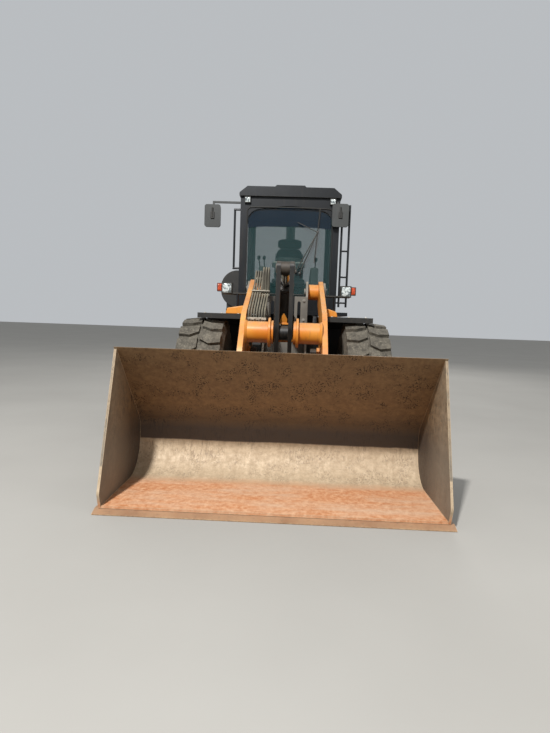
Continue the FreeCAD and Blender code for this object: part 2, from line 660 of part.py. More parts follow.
BANK_EDGE = "-arm_in + hose_first + hose_step * (%s - 1) + block_edge"
shape = block(ARM_FACE, BANK_EDGE % "outer_bank + inner_bank", VALVE_Y + " - valve_deep / 2",
              VALVE_Y + " + valve_deep / 2", "crank_pivot_z - valve_low", VALVE_TOP)
shape = shape.fuse([
    block(ARM_FACE, BANK_EDGE % "outer_bank", "boom_pivot_y - hub_block_half",
          "boom_pivot_y + hub_block_half", HUB_TOP + " - hub_block_high", HUB_TOP),
    block(ARM_FACE, BANK_EDGE % "outer_bank + inner_bank", "end_block_y - end_block_half",
          "end_block_y + end_block_half", "end_block_z", END_TOP)] + [
    hose(value("-arm_in + hose_first + hose_step * %d" % i),
         OUTER_ROUTE if i < value("outer_bank") else INNER_ROUTE)
    for i in range(int(value("outer_bank + inner_bank")))])
boom_hoses = doc.addObject("Part::Feature", "boom_hoses")
boom_hoses.Shape = shape
bind(boom_hoses, Placement__Base__y=FRONT)

# Crank pin, and the bellcrank: two shaped plates on a hub, with bosses at the foot and top.
sizes(crank_in=48, crank_thick=44, crank_hub=78, crank_top_radius=72, crank_foot_radius=68,
      foot_pin=30)
crank_pin = new_body("crank_pin", FRONT)
disc(crank_pin, "crank_pin_rod", "YZ", "-(crank_lug_in + crank_lug_thick + 12)",
     "2 * (crank_lug_in + crank_lug_thick + 12)", "crank_pivot_y", "crank_pivot_z", "crank_pin")
sizes(collar_gap=7, collar_long=80, pin_head_radius=80, pin_head_thick=18, foot_head_radius=62)
collar = disc(crank_pin, "crank_pin_collar", "YZ", "crank_lug_in + crank_lug_thick + side_gap",
              "collar_long", "crank_pivot_y", "crank_pivot_z", "tube_radius - tube_wall - collar_gap")
mirrored(crank_pin, [collar])

CRANK = corners(
    "crank",
    ("top_back", "crank_top_y + crank_top_radius", "crank_top_z + crank_top_radius", 62),
    ("top_front", "crank_top_y - crank_top_radius", "crank_top_z + crank_top_radius", 62),
    ("breast", "crank_pivot_y - 118", "crank_pivot_z + 40", 180),
    ("shin", "crank_pivot_y - 40", "crank_pivot_z - 240", 250),
    ("foot_front", "crank_foot_y - crank_foot_radius", "crank_foot_z - crank_foot_radius", 58),
    ("foot_back", "crank_foot_y + crank_foot_radius", "crank_foot_z - crank_foot_radius", 58),
    ("calf", "crank_foot_y + crank_foot_radius - 10", "crank_foot_z + 250", 250),
    ("back", "crank_pivot_y + 112", "crank_pivot_z", 180))
bellcrank = new_body("bellcrank", FRONT)
pieces = [plate(bellcrank, "crank_plate", "YZ", "crank_in", "crank_thick", CRANK)]
mirrored(bellcrank, pieces)
disc(bellcrank, "crank_hub_disc", "YZ", "-crank_in", "2 * crank_in", "crank_pivot_y",
     "crank_pivot_z", "crank_hub")
bore(bellcrank, "crank_hub_bore", "YZ", "-crank_in - crank_thick - 5",
     "2 * (crank_in + crank_thick + 5)", "crank_pivot_y", "crank_pivot_z", "crank_pin + pin_gap")
bore(bellcrank, "crank_foot_bore", "YZ", "-crank_in - crank_thick - 5",
     "2 * (crank_in + crank_thick + 5)", "crank_foot_y", "crank_foot_z", "foot_pin + pin_gap")
bore(bellcrank, "crank_top_bore", "YZ", "-crank_in - crank_thick - 5",
     "2 * (crank_in + crank_thick + 5)", "crank_top_y", "crank_top_z", "foot_pin + pin_gap")

foot_pin = new_body("foot_pin", FRONT)
disc(foot_pin, "foot_pin_rod", "YZ", "-(crank_in + crank_thick + 10)",
     "2 * (crank_in + crank_thick + 10)", "crank_foot_y", "crank_foot_z", "foot_pin")
head = disc(foot_pin, "foot_pin_head", "YZ", "crank_in + crank_thick + side_gap / 2",
            "pin_head_thick", "crank_foot_y", "crank_foot_z", "foot_head_radius")
mirrored(foot_pin, [head])


def rest_angle(from_y, from_z, to_y, to_z):
    """Turn that lays a body's X axis along a line in the side view, and its Z axis across."""
    run = Vector(0, value(to_y) - value(from_y), value(to_z) - value(from_z))
    return Rotation(run, Vector(0, 0, 0), Vector(1, 0, 0), "XZY"), run.Length


# Link: a bar between the foot of the bellcrank and the ears on the bucket.
sizes(link_half=40, link_eye=60, link_waist=42)
link = new_body("crank_link", FRONT + " + crank_foot_y", "crank_foot_z")
turn, link_length = rest_angle("crank_foot_y", "crank_foot_z", "link_pin_y", "link_pin_z")
link.Placement.Rotation = turn
size("link_length", link_length)
sheet.recompute()
plate(link, "link_bar", "XY", "-link_half", "2 * link_half", [
    ("0", "-link_waist"), ("link_length", "-link_waist"), ("link_length", "link_waist"),
    ("0", "link_waist")])
for end, place in (("near", "0"), ("far", "link_length")):
    disc(link, "link_%s_eye" % end, "XY", "-link_half", "2 * link_half", place, "0", "link_eye")
bore(link, "link_bore", "XY", "-link_half - 5", "2 * link_half + 10", "0", "0", "foot_pin + pin_gap")


# Hydraulic cylinders lie along their own X axis, from the pin of the base eye.
sizes(steer_base_x=380, steer_base_y=-760,
      tilt_eye=70, tilt_barrel=90, tilt_rod=42, tilt_neck=360,
      lift_eye=58, lift_barrel=60, lift_rod=29, lift_neck=190,
      tilt_tail=320, lift_tail=90, steer_tail=400,
      steer_eye=46, steer_barrel=45, steer_rod=25, steer_neck=370, steer_pin=20)


def barrel_features(item, name, half, pin, length):
    """The base eye with its bore, the tube and the stepped gland at its mouth."""
    plate(item, label_of(item, "cap"), "XY", "-(%s)" % half, "2 * (%s)" % half, [
        ("0", "-%s_eye * 0.8" % name), ("%s_eye + 25" % name, "-%s_eye * 0.8" % name),
        ("%s_eye + 25" % name, "%s_eye * 0.8" % name), ("0", "%s_eye * 0.8" % name)])
    disc(item, label_of(item, "eye"), "XY", "-(%s)" % half, "2 * (%s)" % half, "0", "0",
         name + "_eye")
    start = "%s_eye + 15" % name
    shoulder = "%s - %s_neck - 30" % (length, name)
    mouth = "%s - %s_neck" % (length, name)
    hole = "%s_rod + 1" % name
    turned(item, label_of(item, "tube"), [
        (start, hole), (start, name + "_barrel"), (shoulder, name + "_barrel"),
        (shoulder, "%s_barrel - 8" % name), (mouth, "%s_barrel - 8" % name), (mouth, hole)])
    bore(item, label_of(item, "bore"), "XY", "-(%s) - 5" % half, "2 * (%s) + 10" % half,
         "0", "0", pin + " + pin_gap")


def rod_features(item, name, half, pin, length):
    """The rod, and its far eye with the pin that turns with it."""
    far = "%s - %s_eye / 2" % (length, name)
    start = "%s_tail" % name
    turned(item, label_of(item, "shaft"), [
        (start, "0"), (start, name + "_rod"),
        (far, name + "_rod"), (far, "0")])
    disc(item, label_of(item, "eye"), "XY", "-(%s)" % half, "2 * (%s)" % half, length, "0",
         name + "_eye")


def label_of(item, word):
    return item.Name + "_" + word


def cylinder_body(label, make, name, half, pin, base, turn, mirror=1):
    """One half of a cylinder, standing on its base pin and turned along its line."""
    item = new_body(label, base[1], base[2])
    item.Placement.Rotation = turn
    bind(item, Placement__Base__x="%d * (%s)" % (mirror, base[0]))
    make(item, name, half, pin, name + "_length")
    return item


turn, tilt_length = rest_angle("tilt_base_y", "tilt_base_z", "crank_top_y", "crank_top_z")
size("tilt_length", tilt_length)
sheet.recompute()
for label, make in (("tilt_barrel", barrel_features), ("tilt_rod", rod_features)):
    cylinder_body(label, make, "tilt", "tilt_eye_half", "tilt_pin",
                  ("0", FRONT + " + tilt_base_y", "tilt_base_z"), turn)

turn, lift_length = rest_angle("lift_base_y", "lift_base_z", "lift_pin_y", "lift_pin_z")
size("lift_length", lift_length)
sheet.recompute()
for label, make in (("lift_barrels", barrel_features), ("lift_rods", rod_features)):
    both = doc.addObject("Part::Compound", label)
    both.Links = [cylinder_body(label + place, make, "lift", "lift_eye_half", "lift_pin",
                                ("lift_x", FRONT + " + lift_base_y", "lift_base_z"), turn, side)
                  for place, side in (("_left", 1), ("_right", -1))]

steer_run = Vector(value("steer_ear_x - steer_base_x"),
                   value("(%s + steer_ear_y) - (%s + steer_base_y)" % (FRONT, REAR)), 0)
size("steer_length", steer_run.Length)
sheet.recompute()
for place, side in (("left", 1), ("right", -1)):
    run = Vector(steer_run.x * side, steer_run.y, 0)
    turn = Rotation(run, Vector(0, 0, 0), Vector(0, 0, 1), "XZY")
    for label, make in (("steer_barrel_", barrel_features), ("steer_rod_", rod_features)):
        cylinder_body(label + place, make, "steer", "steer_eye_half", "steer_pin",
                      ("steer_base_x", REAR + " + steer_base_y", "steer_z"), turn, side)


# Bucket: a rolled shell between two side plates, with ears for the arms and the link.
sizes(bucket_half=1320, bucket_wall=20, edge_y=-2630, floor_z=30,
      shell_back=-1560, shell_top_y=-2240, shell_top_z=1235, heel_round=330, shell_bend=480, ear_thick=25,
      ear_gap=6, ear_radius=88, link_ear_radius=62, link_ear_thick=30, edge_half=1350,
      edge_deep=260, edge_bevel=70)
SHELL_OUT = [("edge_y + 60", "floor_z"), ("shell_back", "floor_z", "heel_round"),
             ("shell_back", "floor_z + shell_bend", "heel_round / 2"), ("shell_top_y", "shell_top_z")]
SHELL_IN = [("shell_top_y - bucket_wall", "shell_top_z"),
            ("shell_back - bucket_wall", "floor_z + shell_bend + bucket_wall / 2",
             "heel_round / 2 - bucket_wall"),
            ("shell_back - bucket_wall", "floor_z + bucket_wall", "heel_round - bucket_wall"),
            ("edge_y + 60", "floor_z + bucket_wall")]
EAR = [("shell_back - 260", "floor_z + 5"), ("shell_back - 10", "bucket_pivot_z - ear_radius"),
       ("bucket_pivot_y + ear_radius", "bucket_pivot_z - ear_radius", "ear_radius - 8"),
       ("bucket_pivot_y + ear_radius", "bucket_pivot_z + ear_radius", "ear_radius - 8"),
       ("shell_top_y + 330", "shell_top_z - 400"), ("shell_top_y + 200", "shell_top_z - 400")]
bucket_shell = new_body("bucket_shell", FRONT)
pieces = [plate(bucket_shell, where + "_ear", "YZ", start, "ear_thick", EAR)
          for where, start in (("in", "tip_hub_in - ear_gap - ear_thick"),
                               ("out", "tip_hub_out + ear_gap"))]
pieces.append(bore(bucket_shell, "ear_bore", "YZ", "tip_hub_in - 80",
                   "tip_hub_out - tip_hub_in + 160", "bucket_pivot_y", "bucket_pivot_z",
                   "bucket_pin + pin_gap"))
pieces.append(plate(bucket_shell, "link_ear", "YZ", "link_half + side_gap", "link_ear_thick", [
    ("shell_top_y + 300", "shell_top_z - 480"), ("shell_top_y + 200", "shell_top_z - 300"),
    ("link_pin_y + 20", "link_pin_z + link_ear_radius", "link_ear_radius - 6"),
    ("link_pin_y + link_ear_radius + 20", "link_pin_z - link_ear_radius", "link_ear_radius - 10"),
    ("shell_back - 20", "floor_z + 430")]))
mirrored(bucket_shell, pieces)
opening(bucket_shell, "bucket_room", "YZ", "-bucket_half", "2 * bucket_half", SHELL_IN)
plate(bucket_shell, "bucket_wrap", "YZ", "-bucket_half", "2 * bucket_half", SHELL_OUT + SHELL_IN)
side_plate = plate(bucket_shell, "bucket_side", "YZ", "bucket_half - bucket_wall", "bucket_wall",
                   SHELL_OUT + [("edge_y + 20", "floor_z + 120", "bucket_wall * 3")])
mirrored(bucket_shell, [side_plate])

cutting_edge = new_body("cutting_edge", FRONT)
plate(cutting_edge, "edge_plate", "YZ", "-edge_half", "2 * edge_half", [
    ("edge_y", "0"), ("edge_y + edge_deep", "0"), ("edge_y + edge_deep", "floor_z"),
    ("edge_y + edge_bevel", "floor_z"), ("edge_y", "6")])

bucket_pins = new_body("bucket_pins", FRONT)
# Each row is (disc, where it starts, where it ends, radius) of one pin, measured along X.
EAR_INSIDE = "tip_hub_in - ear_gap - ear_thick - side_gap / 2"
EAR_OUTSIDE = "tip_hub_out + ear_gap + ear_thick + side_gap / 2"
BUCKET_PIN = [("bucket_pin_rod", EAR_INSIDE, EAR_OUTSIDE, "bucket_pin"),
              ("bucket_pin_inner_head", EAR_INSIDE + " - pin_head_thick", EAR_INSIDE, "pin_head_radius"),
              ("bucket_pin_outer_head", EAR_OUTSIDE, EAR_OUTSIDE + " + pin_head_thick", "pin_head_radius")]
pieces = [disc(bucket_pins, name, "YZ", start, "%s - (%s)" % (end, start), "bucket_pivot_y",
               "bucket_pivot_z", radius) for name, start, end, radius in BUCKET_PIN]
mirrored(bucket_pins, pieces)


# Rear frame: rails, a bulkhead, the narrow neck with its forks, and cross-members.
sizes(engine_half=300, engine_gap=30, engine_front=-240, engine_back=900, engine_top=1640)
sizes(rail_in=400, rail_thick=25, rail_top=1180, rail_front=-700, rail_rear=1350,
      neck_in=225, neck_front=-1300, neck_top=1262, neck_low=500, neck_notch_low=695,
      neck_notch_high=1078, neck_notch_back=-1010, fork_root=-1020, fork_half=225,
      shaft_half=130, sill_z=935, trunnion_plate_half=200)
rear_frame = new_body("rear_frame", REAR)
RAIL = corners(
    "rail",
    ("front_low", "rail_front", 560),
    ("front_high", "rail_front", "rail_top"),
    ("rear_high", "rail_rear", "rail_top"),
    ("rear_low", "rail_rear", 900, 80),
    ("arch", -420, 900, 60),
    ("drop", -500, 560, 60))
pieces = [plate(rear_frame, "rail_plate", "YZ", "rail_in", "rail_thick", RAIL)]
NECK = [("rail_front", "neck_low"), ("neck_front", "neck_low"), ("neck_front", "neck_notch_low"),
        ("neck_notch_back", "neck_notch_low", "40 + 40"),
        ("neck_notch_back", "neck_notch_high", "40 + 40"), ("neck_front", "neck_notch_high"),
        ("neck_front", "neck_top"), ("rail_front", "neck_top")]
pieces.append(plate(rear_frame, "neck_plate", "YZ", "neck_in", "rail_thick", NECK))
mirrored(rear_frame, pieces)
for word, level in (("upper_high", "upper_lug_z + lug_thick + side_gap"),
                    ("upper_low", "upper_lug_z - side_gap - fork_thick"),
                    ("lower_high", "lower_lug_z + lug_thick + side_gap"),
                    ("lower_low", "lower_lug_z - side_gap - fork_thick")):
    plate(rear_frame, word + "_fork", "XY", level, "fork_thick", [
        ("-fork_half", "fork_root"), ("-fork_half", "neck_front + 30"),
        ("-lug_reach", "%s - lug_reach" % PIVOT_REAR, "lug_reach - 8"),
        ("lug_reach", "%s - lug_reach" % PIVOT_REAR, "lug_reach - 8"),
        ("fork_half", "neck_front + 30"), ("fork_half", "fork_root")])
    bore(rear_frame, word + "_fork_bore", "XY", level + " - 5", "fork_thick + 10", "0",
         PIVOT_REAR, "hinge_pin + pin_gap")
plate(rear_frame, "bulkhead", "XZ", "rail_front", "rail_thick", [
    ("-rail_in - rail_thick", "neck_low"), ("rail_in + rail_thick", "neck_low"),
    ("rail_in + rail_thick", "rail_top"), ("neck_in + rail_thick", "neck_top"),
    ("-neck_in - rail_thick", "neck_top"), ("-rail_in - rail_thick", "rail_top")])
opening(rear_frame, "bulkhead_gap", "XZ", "rail_front - 5", "rail_thick + 10", [
    ("-shaft_half", "shaft_gap_low"), ("shaft_half", "shaft_gap_low"),
    ("shaft_half", "shaft_gap_high"), ("-shaft_half", "shaft_gap_high")])
for word, station in (("front", "-trunnion_reach + 5"), ("rear", "trunnion_reach - 30")):
    plate(rear_frame, word + "_hanger", "XZ", station, "rail_thick", [
        ("-rail_in", "rail_top - 60"), ("-rail_in", "rail_arch_up"),
        ("-trunnion_plate_half", "tyre_radius - trunnion_radius - 60", "trunnion_radius"),
        ("trunnion_plate_half", "tyre_radius - trunnion_radius - 60", "trunnion_radius"),
        ("rail_in", "rail_arch_up"), ("rail_in", "rail_top - 60"),
        ("engine_half + engine_gap", "rail_top - 60"), ("engine_half + engine_gap", "sill_z"),
        ("-engine_half - engine_gap", "sill_z"), ("-engine_half - engine_gap", "rail_top - 60")])
    bore(rear_frame, word + "_hanger_bore", "XZ", station + " - 5", "rail_thick + 10", "0",
         "tyre_radius", "trunnion_radius + seat_gap")
for word, station in (("front", "-250"), ("middle", "350"), ("rear", "rail_rear - 150")):
    box(rear_frame, word + "_member", "-rail_in", "rail_in", station, station + " + 140",
        "sill_z", "sill_z + rail_thick")
ears = [plate(rear_frame, level + "_steer_base", "XY", start, "steer_ear_thick", [
            ("steer_base_x - steer_ear_radius", "rail_front + rail_thick / 2"),
            ("steer_base_x - steer_ear_radius", "steer_base_y - steer_ear_radius", "steer_ear_radius - 5"),
            ("steer_base_x + steer_ear_radius", "steer_base_y - steer_ear_radius", "steer_ear_radius - 5"),
            ("steer_base_x + steer_ear_radius", "rail_front + rail_thick / 2")])
        for level, start in (("high", "steer_z + steer_eye_half + side_gap / 2"),
                             ("low", "steer_z - steer_eye_half - side_gap / 2 - steer_ear_thick"))]
ears.append(disc(rear_frame, "steer_base_pin", "XY", "steer_z - steer_eye_half - steer_ear_thick",
                 "2 * (steer_eye_half + steer_ear_thick)", "steer_base_x", "steer_base_y", "steer_pin"))
mirrored(rear_frame, ears)

# Engine: one plain block that stands on the cross-members.
engine = new_body("engine_block", REAR)
box(engine, "engine_box", "-engine_half", "engine_half", "engine_front", "engine_back",
    "sill_z + rail_thick", "engine_top")

# Counterweight: a casting across the tail, with rounded corners and a slot for the tow pin.
sizes(weight_half=1120, weight_front=1120, weight_low=640, weight_high=1330, weight_round=220,
      weight_rise=260, weight_notch_half=450, tow_half=90, tow_deep=170, tow_pin=22)
counterweight = new_body("counterweight", REAR)
plate(counterweight, "weight_block", "XY", "weight_low", "weight_high - weight_low", [
    ("-weight_half", "weight_front"), ("-weight_notch_half", "weight_front"),
    ("-weight_notch_half", "rail_rear"), ("weight_notch_half", "rail_rear"),
    ("weight_notch_half", "weight_front"), ("weight_half", "weight_front"),
    ("weight_half", "rear_reach", "weight_round"), ("-weight_half", "rear_reach", "weight_round")])
opening(counterweight, "weight_undercut", "YZ", "-weight_half - 5", "2 * weight_half + 10", [
    ("weight_front - 10", "weight_low - 10"), ("rear_reach + 10", "weight_low - 10"),
    ("rear_reach + 10", "weight_low + weight_rise"), ("weight_front - 10", "weight_low + 1")])
opening(counterweight, "tow_slot", "XZ", "rear_reach - tow_deep", "tow_deep + 10", [
    ("-tow_half", "weight_low + weight_rise + 60"), ("tow_half", "weight_low + weight_rise + 60"),
    ("tow_half", "weight_low + weight_rise + 160"), ("-tow_half", "weight_low + weight_rise + 160")])
bore(counterweight, "tow_bore", "XY", "weight_low - 20", "weight_high - weight_low + 40", "0",
     "rear_reach - tow_deep / 2", "tow_pin + pin_gap")

# Rear fenders: a sheet over each rear tyre, carried by a shelf from the rail.
sizes(rear_fender_in=530, rear_fender_out=1180, rear_fender_z=1565, rear_fender_front=-800,
      rear_fender_back=640, rear_fender_drop=230, rear_fender_run=330, fender_shelf_z=1120)
rear_fenders = new_body("rear_fenders", REAR)
pieces = [
    plate(rear_fenders, "rear_fender", "YZ", "rear_fender_in", "rear_fender_out - rear_fender_in", [
        ("rear_fender_front", "rear_fender_z - fender_thick"),
        ("rear_fender_back - rear_fender_run", "rear_fender_z - fender_thick", "rear_fender_run / 2"),
        ("rear_fender_back", "rear_fender_z - rear_fender_drop - fender_thick"),
        ("rear_fender_back", "rear_fender_z - rear_fender_drop"),
        ("rear_fender_back - rear_fender_run", "rear_fender_z", "rear_fender_run / 2 + fender_thick"),
        ("rear_fender_front", "rear_fender_z")]),
    box(rear_fenders, "fender_wall", "rear_fender_in", "rear_fender_in + fender_thick",
        "rear_fender_front", "rear_fender_back - rear_fender_run", "fender_shelf_z",
        "rear_fender_z - fender_thick / 2"),
    box(rear_fenders, "fender_shelf", "rail_in + rail_thick", "rear_fender_in + fender_thick",
        "rear_fender_front + 200", "rear_fender_back - rear_fender_run", "fender_shelf_z",
        "fender_shelf_z + fender_thick")]
mirrored(rear_fenders, pieces)

# Side tanks between the axles, with the steps hung outside them.
sizes(tank_in=550, tank_out=1010, tank_front=-1235, tank_back=-820, tank_low=700, tank_high=1540,
      tank_round=60, stringer_thick=12, step_out=1235, step_low=430, step_high=1330,
      tread_thick=28, tread_rise=330, foot_high=90)
side_tanks = new_body("side_tanks", REAR)
pieces = [plate(side_tanks, "tank", "XY", "tank_low", "tank_high - tank_low", [
    ("tank_in", "tank_front", "tank_round"), ("tank_out", "tank_front", "tank_round"),
    ("tank_out", "tank_back", "tank_round"), ("tank_in", "tank_back", "tank_round")]),
    box(side_tanks, "tank_foot", "rail_in + rail_thick", "tank_in + 110", "tank_back - 40",
        "rail_front + 60", "tank_low", "tank_low + foot_high")]
mirrored(side_tanks, pieces)

steps = new_body("steps", REAR)
stringers = [plate(steps, "stringer_" + word, "XZ", station, "stringer_thick", [
    ("tank_out", "step_high"), ("tank_out", "tank_low + 40"), ("step_out - 130", "step_low"),
    ("step_out", "step_low"), ("step_out", "step_low + 140"), ("tank_out + 60", "step_high")])
    for word, station in (("front", "tank_front + tank_round"),
                          ("back", "tank_back - tank_round - stringer_thick"))]
treads = [box(steps, word + "_tread", inner, outer, "tank_front + tank_round", "tank_back - tank_round",
              low, low + " + tread_thick")
          for word, inner, outer, low in (
              ("low", "step_out - 145", "step_out", "step_low"),
              ("high", "step_out - 185", "step_out - 12", "step_low + tread_rise"))]
mirrored(steps, stringers + treads)


# Oil tank: a rounded moulding beside the cab, on a foot that stands on the right side tank.
sizes(oil_in=726, oil_out=1030, oil_low=1670, oil_high=2230, oil_round=250, oil_inset=15,
      oil_foot_in=866, oil_foot_out=945, oil_foot_rise=80)
oil_tank = new_body("oil_tank", REAR)
plate(oil_tank, "oil_shell", "XZ", "tank_front + oil_inset", "tank_back - tank_front - 2 * oil_inset", [
    ("-oil_in", "oil_low"), ("-oil_in", "oil_high"), ("-oil_out", "oil_high", "oil_round"),
    ("-oil_out", "oil_low", "oil_round")])
box(oil_tank, "oil_foot", "-oil_foot_out", "-oil_foot_in", "tank_front + 3 * oil_inset",
    "tank_back - 3 * oil_inset", "tank_high + seat_gap", "oil_low + oil_foot_rise")

# Cab: floor, a hollow frame with its windows cut, a roof cap, glass and the left door.
sizes(cab_half=690, cab_front=-1910, cab_back=-410, floor_low=1575, floor_high=1625,
      cab_low=1625, cab_high=3190, cab_wall=55, roof_high=3340, roof_half=706, roof_front=-1950,
      roof_back=-380, roof_chamfer=110, roof_crown_half=215, roof_step=22, glass_thick=8,
      windshield_low=1830, windshield_high=3085, front_post=95, rear_glass_low=2110,
      rear_glass_high=3060, side_low=1960, side_high=3060, door_front=-1790, door_back=-890,
      door_low=1680, door_high=3110, door_frame=75, door_gap=6, mount_half=60,
      walk_out=860)
cab_floor = new_body("cab_floor", REAR)
box(cab_floor, "floor_plate", "-cab_half", "cab_half", "cab_front", "cab_back", "floor_low", "floor_high")
pieces = [box(cab_floor, "front_mount", "neck_in - 100", "neck_in + rail_thick", "neck_front",
              "neck_front + 2 * mount_half", "neck_top", "floor_low"),
          box(cab_floor, "rear_mount", "rail_in - 60", "rail_in + rail_thick", "rail_front + 60",
              "rail_front + 60 + 2 * mount_half", "rail_top", "floor_low"),
          box(cab_floor, "walkway", "cab_half", "walk_out", "cab_front + 20", "cab_back - 350",
              "floor_low", "floor_high")]
mirrored(cab_floor, pieces)

cab_frame = new_body("cab_frame", REAR)
plate(cab_frame, "cab_block", "XZ", "cab_front", "cab_back - cab_front", [
    ("-cab_half", "cab_low"), ("cab_half", "cab_low"), ("cab_half", "cab_high"),
    ("-cab_half", "cab_high")])
opening(cab_frame, "cab_room", "XZ", "cab_front + cab_wall", "cab_back - cab_front - 2 * cab_wall", [
    ("-cab_half + cab_wall", "cab_low - 5"), ("cab_half - cab_wall", "cab_low - 5"),
    ("cab_half - cab_wall", "cab_high - cab_wall"), ("-cab_half + cab_wall", "cab_high - cab_wall")])
opening(cab_frame, "windshield_gap", "XZ", "cab_front - 5", "cab_wall + 10", [
    ("-cab_half + front_post", "windshield_low", "front_post"),
    ("cab_half - front_post", "windshield_low", "front_post"),
    ("cab_half - front_post", "windshield_high - 90", "2 * front_post"),
    ("0", "windshield_high", "16 * front_post"),
    ("-cab_half + front_post", "windshield_high - 90", "2 * front_post")])
opening(cab_frame, "rear_gap", "XZ", "cab_back - cab_wall - 5", "cab_wall + 10", [
    ("-cab_half + front_post", "rear_glass_low", "front_post"),
    ("cab_half - front_post", "rear_glass_low", "front_post"),
    ("cab_half - front_post", "rear_glass_high", "front_post"),
    ("-cab_half + front_post", "rear_glass_high", "front_post")])
opening(cab_frame, "right_gap", "YZ", "-cab_half - 5", "cab_wall + 10", [
    ("cab_front + front_post + 30", "side_low", "front_post"),
    ("cab_back - front_post", "side_low", "front_post"),
    ("cab_back - front_post", "side_high", "front_post"),
    ("cab_front + front_post + 30", "side_high", "front_post")])
opening(cab_frame, "left_gap", "YZ", "cab_half - cab_wall - 5", "cab_wall + 10", [
    ("door_back + 80", "side_low", "front_post / 2"),
    ("cab_back - front_post", "side_low", "front_post / 2"),
    ("cab_back - front_post", "side_high", "front_post / 2"),
    ("door_back + 80", "side_high", "front_post / 2")])
opening(cab_frame, "door_way", "YZ", "cab_half - cab_wall - 5", "cab_wall + 10", [
    ("door_front", "door_low", "front_post"), ("door_back", "door_low", "front_post"),
    ("door_back", "door_high", "front_post"), ("door_front", "door_high", "front_post")])

# Door hinges: each has a knuckle and a pin on the frame and a second knuckle on the door.
sizes(knuckle_radius=14, knuckle_high=44, knuckle_rod=8, knuckle_gap=3, low_hinge_z=1860,
      high_hinge_z=2840)
KNUCKLE_X = "(cab_half + knuckle_radius)"
for word in ("low", "high"):
    level = word + "_hinge_z"
    box(cab_frame, word + "_hinge_foot", "cab_half - 5", KNUCKLE_X, "door_back", "door_back + 45",
        level, level + " + knuckle_high")
    disc(cab_frame, word + "_hinge_knuckle", "XY", level, "knuckle_high", KNUCKLE_X, "door_back",
         "knuckle_radius")
    disc(cab_frame, word + "_hinge_rod", "XY", level, "2 * knuckle_high + knuckle_gap", KNUCKLE_X,
         "door_back", "knuckle_rod")

cab_roof = new_body("cab_roof", REAR)
plate(cab_roof, "roof_cap", "XZ", "roof_front", "roof_back - roof_front", [
    ("-roof_half", "cab_high"), ("roof_half", "cab_high"),
    ("roof_half", "roof_high - roof_chamfer", "roof_step"),
    ("roof_half - roof_chamfer", "roof_high - roof_step", "roof_step"),
    ("roof_crown_half", "roof_high - roof_step"), ("roof_crown_half - roof_step", "roof_high"),
    ("-roof_crown_half + roof_step", "roof_high"), ("-roof_crown_half", "roof_high - roof_step"),
    ("-roof_half + roof_chamfer", "roof_high - roof_step", "roof_step"),
    ("-roof_half", "roof_high - roof_chamfer", "roof_step")])

cab_glass = new_body("cab_glass", REAR)
plate(cab_glass, "windshield", "XZ", "cab_front + cab_wall / 2", "glass_thick", [
    ("-cab_half + front_post + seat_gap", "windshield_low + seat_gap", "front_post"),
    ("cab_half - front_post - seat_gap", "windshield_low + seat_gap", "front_post"),
    ("cab_half - front_post - seat_gap", "windshield_high - 90 - seat_gap", "2 * front_post"),
    ("0", "windshield_high - seat_gap", "16 * front_post"),
    ("-cab_half + front_post + seat_gap", "windshield_high - 90 - seat_gap", "2 * front_post")])
plate(cab_glass, "rear_glass", "XZ", "cab_back - cab_wall / 2", "glass_thick", [
    ("-cab_half + front_post + seat_gap", "rear_glass_low + seat_gap", "front_post"),
    ("cab_half - front_post - seat_gap", "rear_glass_low + seat_gap", "front_post"),
    ("cab_half - front_post - seat_gap", "rear_glass_high - seat_gap", "front_post"),
    ("-cab_half + front_post + seat_gap", "rear_glass_high - seat_gap", "front_post")])
plate(cab_glass, "right_glass", "YZ", "-cab_half + cab_wall / 2", "glass_thick", [
    ("cab_front + front_post + 30 + seat_gap", "side_low + seat_gap", "front_post"),
    ("cab_back - front_post - seat_gap", "side_low + seat_gap", "front_post"),
    ("cab_back - front_post - seat_gap", "side_high - seat_gap", "front_post"),
    ("cab_front + front_post + 30 + seat_gap", "side_high - seat_gap", "front_post")])
plate(cab_glass, "left_glass", "YZ", "cab_half - cab_wall / 2", "glass_thick", [
    ("door_back + 80 + seat_gap", "side_low + seat_gap", "front_post / 2"),
    ("cab_back - front_post - seat_gap", "side_low + seat_gap", "front_post / 2"),
    ("cab_back - front_post - seat_gap", "side_high - seat_gap", "front_post / 2"),
    ("door_back + 80 + seat_gap", "side_high - seat_gap", "front_post / 2")])

door = new_body("cab_door", REAR)
plate(door, "door_leaf", "YZ", "cab_half - cab_wall + 8", "cab_wall - 8", [
    ("door_front + door_gap", "door_low + door_gap", "front_post"),
    ("door_back - door_gap", "door_low + door_gap", "front_post"),
    ("door_back - door_gap", "door_high - door_gap", "front_post"),
    ("door_front + door_gap", "door_high - door_gap", "front_post")])
opening(door, "door_window", "YZ", "cab_half - cab_wall", "cab_wall + 10", [
    ("door_front + door_frame", "door_low + 2.4 * door_frame", "front_post / 2"),
    ("door_back - door_frame", "door_low + 2.4 * door_frame", "front_post / 2"),
    ("door_back - door_frame", "door_high - door_frame", "front_post / 2"),
    ("door_front + door_frame", "door_high - door_frame", "front_post / 2")])
for word in ("low", "high"):
    level = word + "_hinge_z + knuckle_high + knuckle_gap"
    box(door, word + "_door_foot", "cab_half - 5", KNUCKLE_X, "door_back - door_gap - 45", "door_back",
        level, level + " + knuckle_high")
    disc(door, word + "_door_knuckle", "XY", level, "knuckle_high", KNUCKLE_X, "door_back",
         "knuckle_radius")
    bore(door, word + "_knuckle_bore", "XY", level + " - 2", "knuckle_high + 4", KNUCKLE_X,
         "door_back", "knuckle_rod + pin_gap")
door_glass = new_body("door_glass", REAR)
